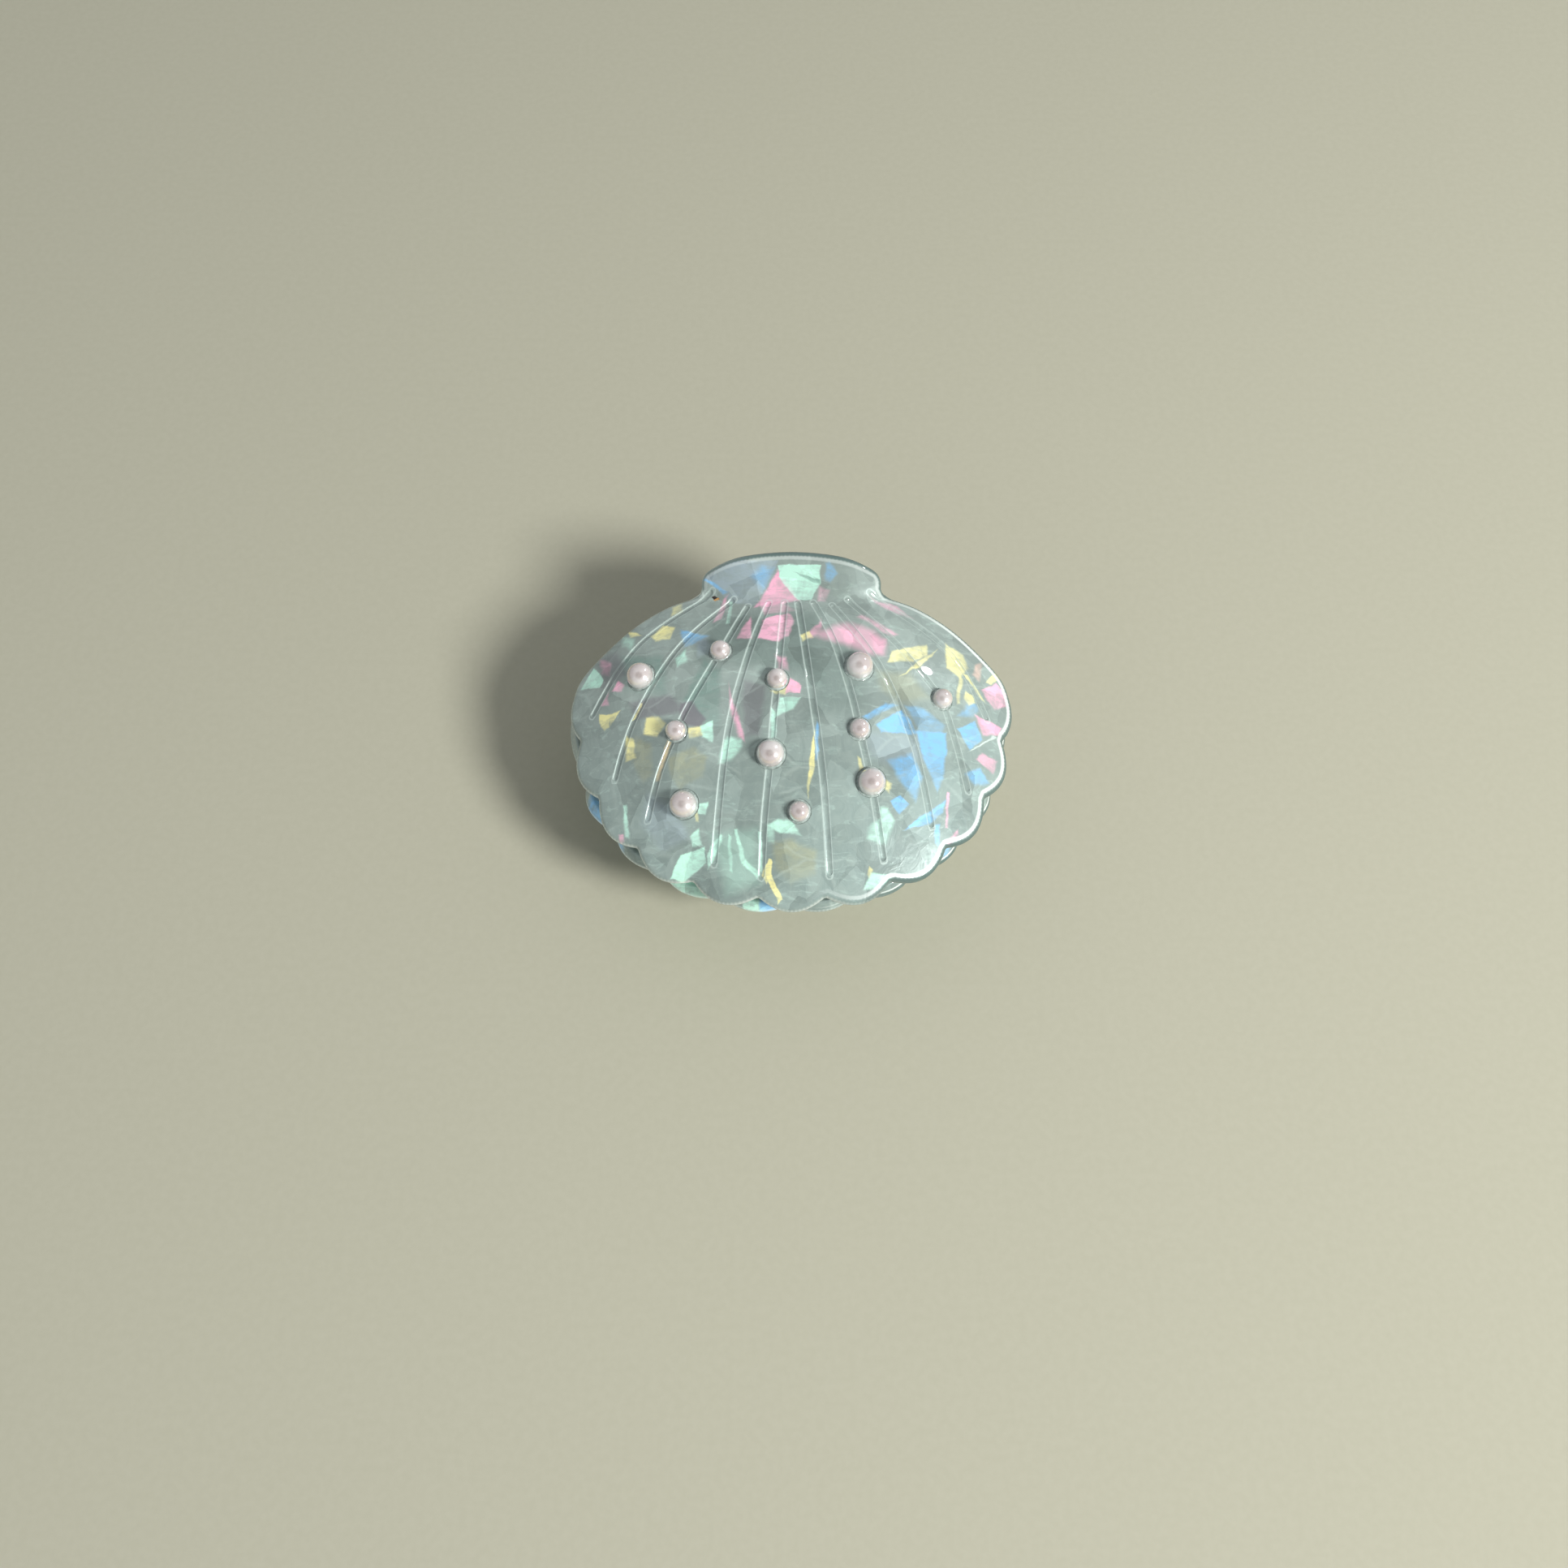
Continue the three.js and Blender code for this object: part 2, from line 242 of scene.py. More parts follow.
class Jaw:
    """One jaw's form. side is 1 for the front jaw and -1 for the back one, its mirror image."""

    def __init__(self, shell, body, notches, front_scale, side):
        low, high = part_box(shell)
        joint = frame["joints"][0]["pos_m"]
        self.origin = np.array([(low.x + high.x) / 2, joint[1] - HINGE_Y * MM, joint[2]])
        self.shell, self.body = shell, body
        self.notches, self.front_scale, self.side = notches, front_scale, side

    def height(self, x, y):
        reach = np.where(y < 0, FRONT_REACH * self.front_scale, BACK_REACH)
        domed = FOOT + RISE * (1 - (x / HALF_WIDTH) ** 2 - (y / reach) ** 2)
        flared = EAR_HEIGHT + EAR_FLARE * (y - EAR_Y) - EAR_DROOP * np.maximum(0, np.abs(x) - EAR_FLAT) ** 2
        into = y - 0.5 * np.maximum(0, np.abs(x) - 11)
        blend = smoothstep(into, EAR_FROM, EAR_TO)
        return domed * (1 - blend) + flared * blend

    def normal(self, x, y):
        step = 0.05
        slope_x = (self.height(x + step, y) - self.height(x - step, y)) / (2 * step)
        slope_y = (self.height(x, y + step) - self.height(x, y - step)) / (2 * step)
        return unit(np.stack([-slope_x, -slope_y, np.ones_like(slope_x)], axis=-1))

    def across(self, x, y, level):
        """Points on the lines square to the sheet at (x, y), at levels measured from the outer face."""
        x, y, level = np.broadcast_arrays(*(np.asarray(value, float) for value in (x, y, level)))
        at = np.stack([x, y, self.height(x, y)], axis=-1)
        return at + self.normal(x, y) * level[..., None]

    def place(self, points):
        return np.asarray(points) * [1, 1, self.side] * MM + self.origin

    def stand(self, points, x, y):
        """Stands points drawn about +Z square to the sheet at (x, y), with level 0 on its outer face."""
        up = self.normal(np.array(x, float), np.array(y, float))
        right = unit(np.cross([0.0, 1.0, 0.0], up))
        forward = np.cross(up, right)
        foot = self.across(x, y, 0.0)
        return points[:, :1] * right + points[:, 1:2] * forward + points[:, 2:] * up + foot

    def stand_all(self, solids):
        """One mesh of several solids, each given as its points, its faces and the place it stands at."""
        vertices, faces = [], []
        for (points, new_faces), x, y in solids:
            faces.extend(tuple(len(vertices) + i for i in face) for face in new_faces)
            vertices.extend(self.stand(points, x, y))
        return vertices, faces

    def build(self, name, vertices, faces, smooth_deg=35):
        obj = new_object(name, self.place(vertices), faces, smooth_deg)
        recalculate(obj)
        finish_shading(obj, smooth_deg)
        return obj

    def outline(self):
        def polar(deg, radius):
            angle = -math.radians(deg)
            reach = radius + FULLNESS * math.sin(2 * angle) ** 2
            return np.array([reach * math.cos(angle), reach * math.sin(angle)])

        bulge = 2 * TIP_RADIUS - NOTCH_RADIUS * math.cos(math.radians(LOBE_PITCH / 2))

        def lobe(start, end):
            tip = polar((start + end) / 2, bulge)
            return quadratic(polar(start, NOTCH_RADIUS), tip, polar(end, NOTCH_RADIUS))

        first = polar(self.notches[0], NOTCH_RADIUS)
        right = [
            quadratic((0, 19.3), (6.8, 19.2), (12.5, 17.3)),
            quadratic((12.5, 17.3), (13.9, 16.7), (13.6, 14.6)),
            through([(13.6, 14.6), (18.6, 13.4), (24, 10.4), (29, 6.1), (31.8, 2.9), (32.85, -0.5)]),
            quadratic((32.85, -0.5), (33.5, first[1] * 0.6), first),
        ]
        right += [lobe(a, b) for a, b in zip(self.notches, self.notches[1:])]
        last = self.notches[-1]
        middle = [lobe(last, 180 - last)] if last < 90 else []
        right = np.vstack(right)
        left = right[::-1] * [-1, 1]
        whole = np.vstack([right, *middle, left])
        whole[:, 1] *= np.where(whole[:, 1] < 0, self.front_scale * SPREAD_FRONT, SPREAD_BACK)
        soft = evenly(whole * [SPREAD_X, 1], count=4 * OUTLINE_POINTS, closed=True)
        for _ in range(ROUNDING_PASSES):  # rounds the notches' sharp corners a little
            soft = (np.roll(soft, 1, axis=0) + soft + np.roll(soft, -1, axis=0)) / 3
        return evenly(soft, count=OUTLINE_POINTS, closed=True)

    def shell_mesh(self):
        outline = self.outline()
        along = np.roll(outline, -1, axis=0) - np.roll(outline, 1, axis=0)
        inward = unit(np.column_stack([along[:, 1], -along[:, 0]]))  # the outline runs clockwise

        quarter = np.linspace(0, math.pi / 2, 9)
        rim = [(OUTER_FILLET * (1 - math.sin(a)), -OUTER_FILLET * (1 - math.cos(a))) for a in quarter]
        low = INNER_FILLET - SHEET
        rim += [(0, -OUTER_FILLET + (low + OUTER_FILLET) * k / 3) for k in (1, 2)]
        rim += [(INNER_FILLET * (1 - math.cos(a)), low - INNER_FILLET * math.sin(a)) for a in quarter[::2]]

        centre = np.array([0, GRID_CENTRE_Y])
        edge = outline + inward * OUTER_FILLET
        rings = [(centre + (edge - centre) * k / OUTER_RINGS, 0.0) for k in range(1, OUTER_RINGS)]
        rings += [(outline + inward * inset, level) for inset, level in rim]
        edge = outline + inward * INNER_FILLET
        inner = reversed(range(1, INNER_RINGS))
        rings += [(centre + (edge - centre) * k / INNER_RINGS, -SHEET) for k in inner]
        vertices = np.vstack([self.across(p[:, 0], p[:, 1], level) for p, level in rings])
        vertices = np.vstack([vertices, self.across(*centre, 0.0), self.across(*centre, -SHEET)])
        count = len(outline)
        faces = tube_faces(len(rings), count)[:-2]
        top, bottom, final = len(vertices) - 2, len(vertices) - 1, (len(rings) - 1) * count
        for i in range(count):
            j = (i + 1) % count
            faces.append((top, j, i))
            faces.append((bottom, final + i, final + j))
        return vertices, faces

    def groove_cutter(self):
        vertices, faces = [], []
        turn = np.linspace(0, math.pi, 9)
        bowl = [(GROOVE_HALF * math.cos(a), -0.05 - (GROOVE_DEPTH - 0.05) * math.sin(a)) for a in turn]
        lip = GROOVE_HALF + 0.12
        profile = np.array([(lip, 0.5), (lip, 0.03), *bowl, (-lip, 0.03), (-lip, 0.5)])
        for groove in GROOVES:
            line = evenly(through(groove), step=0.4)
            rounded = GROOVE_HALF * np.array([0.02, 0.3, 0.65])
            run = distances_along(line)
            extra = np.concatenate([rounded, run[1:-1], run[-1] - rounded[::-1]])
            line = points_at(line, extra)
            to_end = np.minimum(extra, run[-1] - extra)
            width = np.sqrt(1 - np.clip(1 - to_end / GROOVE_HALF, 0, 0.98) ** 2)
            ahead = np.gradient(line, axis=0)
            normal = self.normal(line[:, 0], line[:, 1])
            base = self.across(line[:, 0], line[:, 1], 0.0)
            forward = np.column_stack([ahead, np.gradient(base[:, 2])])
            sideways = unit(np.cross(forward, normal))
            first = len(vertices)
            for b, s, n, w in zip(base, sideways, normal, width):
                level = np.where(profile[:, 1] < 0, profile[:, 1] * w, profile[:, 1])
                vertices.extend(b + s * (profile[:, :1] * w) + n * level[:, None])
            faces += tube_faces(len(base), len(profile), first)
        return vertices, faces

    def pocket_cutter(self):
        holes = []
        for x, y, size in BEADS:
            wall, depth = size["pocket"], size["depth"]
            profile = [(wall + 0.2, 1.5), (wall + 0.2, 0.1), (wall + 0.06, -0.04), (wall, -0.14)]
            profile += [(wall, 0.25 - depth), (wall - 0.07, 0.07 - depth), (wall - 0.25, -depth)]
            holes.append((revolve(profile, ROUND_SIDES), x, y))
        slot = PRONG_RADIUS + PRONG_CLEAR
        profile = [(slot, -SHEET - 1), (slot, PRONG_REACH + PRONG_CLEAR - SHEET)]
        holes += [(revolve(profile, THIN_SIDES), x, PRONG_Y) for x in (-PRONG_X, PRONG_X)]
        return self.stand_all(holes)


front = Jaw("front_shell", "front_half", [12.6, 29.8, 47, 64.2, 81.4], 1, 1)
back = Jaw("back_shell", "back_half", [21.2, 38.4, 55.6, 72.8, 90], 0.965, -1)


def make_shell(jaw):
    obj = jaw.build(f"{jaw.shell}_acetate", *jaw.shell_mesh())
    for cutter in (jaw.groove_cutter(), jaw.pocket_cutter()):
        combine(obj, jaw.build("cutter", *cutter), "DIFFERENCE")
    finish_shading(obj, 32)
    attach(obj, jaw.body)
    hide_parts(jaw.shell)
    return obj


# ---- pearls and their glue


def bead_points(radius):
    """A bead flattened a little at the bottom, where it is drilled and glued."""
    r = radius * 0.985
    angles = np.linspace(math.pi / 2, -math.asin(0.92), 30)
    profile = [(max(0.02, r * math.cos(a)), r * math.sin(a)) for a in angles]
    return revolve(profile, BEAD_SIDES)


def make_pearls(jaw):
    pearls = []
    for number, (x, y, size) in enumerate(BEADS, 1):
        name = jaw.shell.replace("shell", f"pearl_{number}")
        points, faces = bead_points(size["radius"])
        points = points + [0, 0, size["radius"] + BEAD_SEAT - size["depth"]]
        obj = jaw.build(f"{name}_bead", jaw.stand(points, x, y), faces, 40)
        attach(obj, jaw.body)
        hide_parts(name)
        pearls.append(obj)
    return pearls


def make_glue(jaw):
    """Clear glue that fills the gap round each bead and dries hollow."""
    rings = []
    for x, y, size in BEADS:
        radius, wall, depth = size["radius"], size["pocket"] - 0.01, size["depth"]
        inner = radius - 0.12
        gap = wall - inner
        profile = [(inner, 0.12), (inner + gap * 0.3, -0.1), (inner + gap * 0.65, -0.2), (wall, -0.12)]
        profile += [(wall, 0.5 - depth), (inner, 0.5 - depth)]
        rings.append((revolve(profile, ROUND_SIDES, closed=True), x, y))
    obj = jaw.build(jaw.shell.replace("shell", "bead_glue"), *jaw.stand_all(rings), 50)
    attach(obj, jaw.body)
    return obj


# ---- the sprung hinge


def inner_height(jaw, x, y):
    return jaw.height(x, y) - SHEET / jaw.normal(x, y)[..., 2]


def leaf_plate(jaw):
    """The leaf's curved plate: a rounded rectangle with soft edges that follows the jaw's inner face."""
    corner, edge = 1.3, 0.22
    half_y, middle = (LEAF_TO - LEAF_FROM) / 2, (LEAF_FROM + LEAF_TO) / 2
    turn = np.linspace(0, math.pi / 2, 10)
    quarter = circle(turn) * corner + [LEAF_HALF - corner, half_y - corner]
    top = np.vstack([quarter, quarter[::-1] * [-1, 1]])
    outline = evenly(np.vstack([top, -top]), count=200, closed=True)
    out = unit(np.column_stack([-np.gradient(outline[:, 1]), np.gradient(outline[:, 0])]))
    half = LEAF_THICK / 2
    rings = []
    soft = np.linspace(0, math.pi / 2, 5)
    shrink = (1 - np.linspace(0.04, 0.98, 12))[::-1]
    rings += [(outline * share, half, 0) for share in shrink]
    rings += [(outline, half - edge * (1 - math.cos(a)), edge * (1 - math.sin(a))) for a in soft]
    rings += [(outline, edge * (1 - math.sin(a)) - half, edge * (1 - math.cos(a))) for a in soft]
    rings += [(outline * share, -half, 0) for share in shrink[::-1]]
    vertices = []
    for line, rise, inset in rings:
        at = line + out * inset
        x, y = at[:, 0], at[:, 1] + middle
        dent = 0.16 * smoothstep(6.2 - np.abs(x), 0, 1.6) * smoothstep(1.9 - np.abs(at[:, 1]), 0, 0.9)
        mid = inner_height(jaw, x, y) - LEAF_GAP - half
        vertices.append(np.column_stack([x, y, mid + rise - dent]))
    return np.vstack(vertices), tube_faces(len(rings), len(outline))


def lug_plate(jaw, x):
    """One lug: it hangs from the plate and ends in an eye round the pin."""
    knots = [(HINGE_Y - EYE_RADIUS, 0)]
    for along in (LEAF_FROM + 0.4, HINGE_Y + 1.4, LEAF_TO - 2.4):
        inside = float(inner_height(jaw, np.array(x), np.array(along)))
        knots.append((along, inside - LEAF_GAP - LEAF_THICK / 2))
    knots.append((HINGE_Y + EYE_RADIUS, 0))
    turn = np.linspace(0, -math.pi, 40)[1:-1]
    eye = circle(turn) * EYE_RADIUS + [HINGE_Y, 0]
    outline = evenly(np.vstack([knots, eye]), count=120, closed=True)
    ahead = np.roll(outline, -1, axis=0) - np.roll(outline, 1, axis=0)
    out = unit(np.column_stack([ahead[:, 1], -ahead[:, 0]]))
    edge, half = 0.14, LUG / 2
    levels = [(edge, -half), (edge * 0.3, edge * 0.3 - half), (0, edge - half)]
    levels += [(inset, -level) for inset, level in levels[::-1]]
    rings = []
    for inset, level in levels:
        flat = outline - out * inset
        rings.append(np.column_stack([np.full(len(flat), x + level), flat[:, 0], flat[:, 1]]))
    return np.vstack(rings), tube_faces(len(rings), len(outline))


def about_pin(profile):
    """A turned solid on the hinge's axis, from (radius, X) pairs."""
    points, faces = revolve(profile, ROUND_SIDES)
    return np.column_stack([points[:, 2], points[:, 0] + HINGE_Y, points[:, 1]]), faces


def make_leaf(jaw, lug_x):
    name = jaw.shell.replace("shell", "hinge_leaf")
    leaf = jaw.build(f"{name}_plate", *leaf_plate(jaw))
    prong_foot, prong_top = -SHEET - LEAF_GAP - LEAF_THICK / 2, PRONG_REACH - SHEET
    r = PRONG_RADIUS
    prong = [(r * 1.5, prong_foot), (r * 1.5, prong_foot + 0.45), (r, prong_foot + 0.75)]
    prong += [(r, prong_top - 0.3), (r * 0.7, prong_top - 0.06), (r * 0.2, prong_top)]
    for side in (-1, 1):
        combine(leaf, jaw.build("lug", *lug_plate(jaw, side * lug_x)), "UNION")
        points, faces = revolve(prong, THIN_SIDES)
        combine(leaf, jaw.build("prong", jaw.stand(points, side * PRONG_X, PRONG_Y), faces), "UNION")
        hole = [(EYE_HOLE + 0.15, -LUG), (EYE_HOLE + 0.15, -LUG / 2), (EYE_HOLE, 0.15 - LUG / 2)]
        hole += [(r, -level) for r, level in hole[::-1]]
        cutter = about_pin([(r, level + side * lug_x) for r, level in hole])
        combine(leaf, jaw.build("eye_hole", *cutter), "DIFFERENCE")
    finish_shading(leaf, 30)
    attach(leaf, jaw.body)
    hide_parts(name)
    return leaf


def make_pin():
    inside = OUTER_LUG_X + LUG / 2 + PIN_GAP
    end, head = inside + PIN_HEAD, PIN_HEAD_RADIUS
    half = [(0.05, end), (0.4 * head, end - 0.02), (0.75 * head, end - 0.1), (0.93 * head, end - 0.22)]
    half += [(head, end - 0.36), (head * 0.97, inside + 0.02), (head * 0.9, inside), (PIN_RADIUS, inside)]
    profile = half + [(r, -level) for r, level in half[::-1]]
    pin = back.build("hinge_pin_turned", *about_pin(profile))
    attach(pin, back.body)
    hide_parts("hinge_pin")
    return pin


def spring_route():
    leave = math.radians(90 + LEG_DEG)
    sweep = 2 * math.pi * (COIL_TURNS + 1) - 2 * leave
    length = COIL_PITCH * sweep / (2 * math.pi)
    share = np.linspace(0, 1, 40 * COIL_TURNS)
    angle = leave + sweep * (1 - share)
    coil = np.column_stack([length * (0.5 - share), circle(angle) * COIL_RADIUS + [HINGE_Y, 0]])
    knee = coil[-1] + np.array([0, math.sin(leave), -math.cos(leave)]) * 5
    tip = knee + [0, 3, 0.3]
    bend = quadratic(knee - (knee - coil[-1]) * 0.35, knee, knee + (tip - knee) * 0.5, 14)
    leg = np.vstack([np.linspace(coil[-1], bend[0], 8)[1:-1], bend, tip])
    down = leg[::-1] * [-1, 1, -1]
    return np.vstack([down, coil, leg]), length


def make_spring():
    route, length = spring_route()
    route = evenly(route, step=0.22)
    ahead = unit(np.gradient(route, axis=0))
    turn = np.linspace(0, 2 * math.pi, WIRE_SIDES, endpoint=False)
    across = np.array([1.0, 0, 0])
    rings = []
    thin = [0.55, 0.85] + [1] * (len(route) - 4) + [0.85, 0.55]
    for at, way, share in zip(route, ahead, thin):
        across = unit(across - way * (across @ way))  # carries the section along without a twist
        up = np.cross(way, across)
        ring = np.outer(np.cos(turn), across) + np.outer(np.sin(turn), up)
        rings.append(at + ring * WIRE / 2 * share)
    spring = back.build("torsion_spring_wire", np.vstack(rings), tube_faces(len(rings), len(turn)), 50)
    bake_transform(spring)
    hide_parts("torsion_spring")
    return spring


# ---- materials


def rgb(*screen):
    """A colour picked as it looks on a screen, 0 to 255, turned into the linear values shaders use."""
    shares = [value / 255 for value in screen]
    return (*(c / 12.92 if c <= 0.04045 else ((c + 0.055) / 1.055) ** 2.4 for c in shares), 1)


class Paint:
    """A node tree, with short calls for the nodes this file needs."""

    def __init__(self, tree):
        self.tree = tree

    def feed(self, value, socket):
        if isinstance(value, bpy.types.NodeSocket):
            self.tree.links.new(value, socket)
        else:
            socket.default_value = value

    def node(self, kind, inputs, **settings):
        """Adds a node, with its settings and the values or links of its inputs, and gives its outputs."""
        node = self.tree.nodes.new(f"ShaderNode{kind}")
        for name, value in settings.items():
            setattr(node, name, value)
        for name, value in inputs.items():
            self.feed(value, node.inputs[name])
        return node.outputs

    def stored(self, name):
        return self.node("Attribute", {}, attribute_name=name)["Fac"]

    def math(self, operation, a, b=0.0, clamp=False):
        return self.node("Math", {0: a, 1: b}, operation=operation, use_clamp=clamp)[0]

    def times(self, a, b):
        return self.math("MULTIPLY", a, b)

    def vector(self, operation, a, b=(0, 0, 0), output=0):
        return self.node("VectorMath", {0: a, 1: b}, operation=operation)[output]

    def stretch(self, vector, *shares):
        return self.vector("MULTIPLY", vector, shares)

    def scale(self, vector, share):
        return self.node("VectorMath", {0: vector, "Scale": share}, operation="SCALE")[0]

    def ramp(self, value, low, high, to_low=0.0, to_high=1.0):
        values = dict(enumerate((value, low, high, to_low, to_high)))
        return self.node("MapRange", values, interpolation_type="SMOOTHSTEP")[0]

    def mix(self, share, a, b):
        return self.node("Mix", {0: share, 6: a, 7: b}, data_type="RGBA")[2]

    def noise(self, vector, scale, detail=2.0, rough=0.5, distortion=0.0, output=0):
        values = {"Vector": vector, "Scale": scale, "Detail": detail}
        return self.node("TexNoise", {**values, "Roughness": rough, "Distortion": distortion})[output]

    def cells(self, vector, scale, feature="F1", output="Color"):
        return self.node("TexVoronoi", {"Vector": vector, "Scale": scale}, feature=feature)[output]

    def bump(self, height, strength, distance):
        return self.node("Bump", {"Height": height, "Strength": strength, "Distance": distance})[0]


class Surface(Paint):
    """The node tree of a new material, and its shader."""

    def __init__(self, name):
        self.material = bpy.data.materials.new(name)
        self.material.use_nodes = True
        super().__init__(self.material.node_tree)
        self.shader = self.tree.nodes["Principled BSDF"]
        self.where = self.node("TexCoord", {})["Object"]

    def set(self, **values):
        for name, value in values.items():
            self.feed(value, self.shader.inputs[name.replace("_", " ")])


MINT, PINK, YELLOW, BLUE = rgb(205, 255, 236), rgb(250, 190, 214), rgb(252, 248, 178), rgb(138, 197, 240)
KHAKI, PLUM, TEAL, SLATE = rgb(172, 176, 144), rgb(122, 118, 126), rgb(116, 152, 142), rgb(164, 182, 190)
# painted shade: the middle colour on the next line stands for the dark inside of the clip seen through the
# sheet
PALE, INSIDE_SHADE, SCORCH = rgb(214, 232, 224), rgb(96, 116, 110), rgb(40, 18, 6)
PEACH, SAND, AMBER = rgb(232, 205, 190), rgb(222, 205, 165), rgb(205, 150, 80)

MOST_EDGES = 6
SOFT_SHARE = 0.7  # how much of a flake's softness lies on each side of its edge
FAR_STRENGTH = 0.55  # what is left of a flake's strength at the corner farthest from its first edge
DEEP_SOFTNESS = 1.2  # mm; softer patches are tints deep in the sheet
NO_FADE = 60.0  # mm; a tint fades over this much, which is wider than the clip

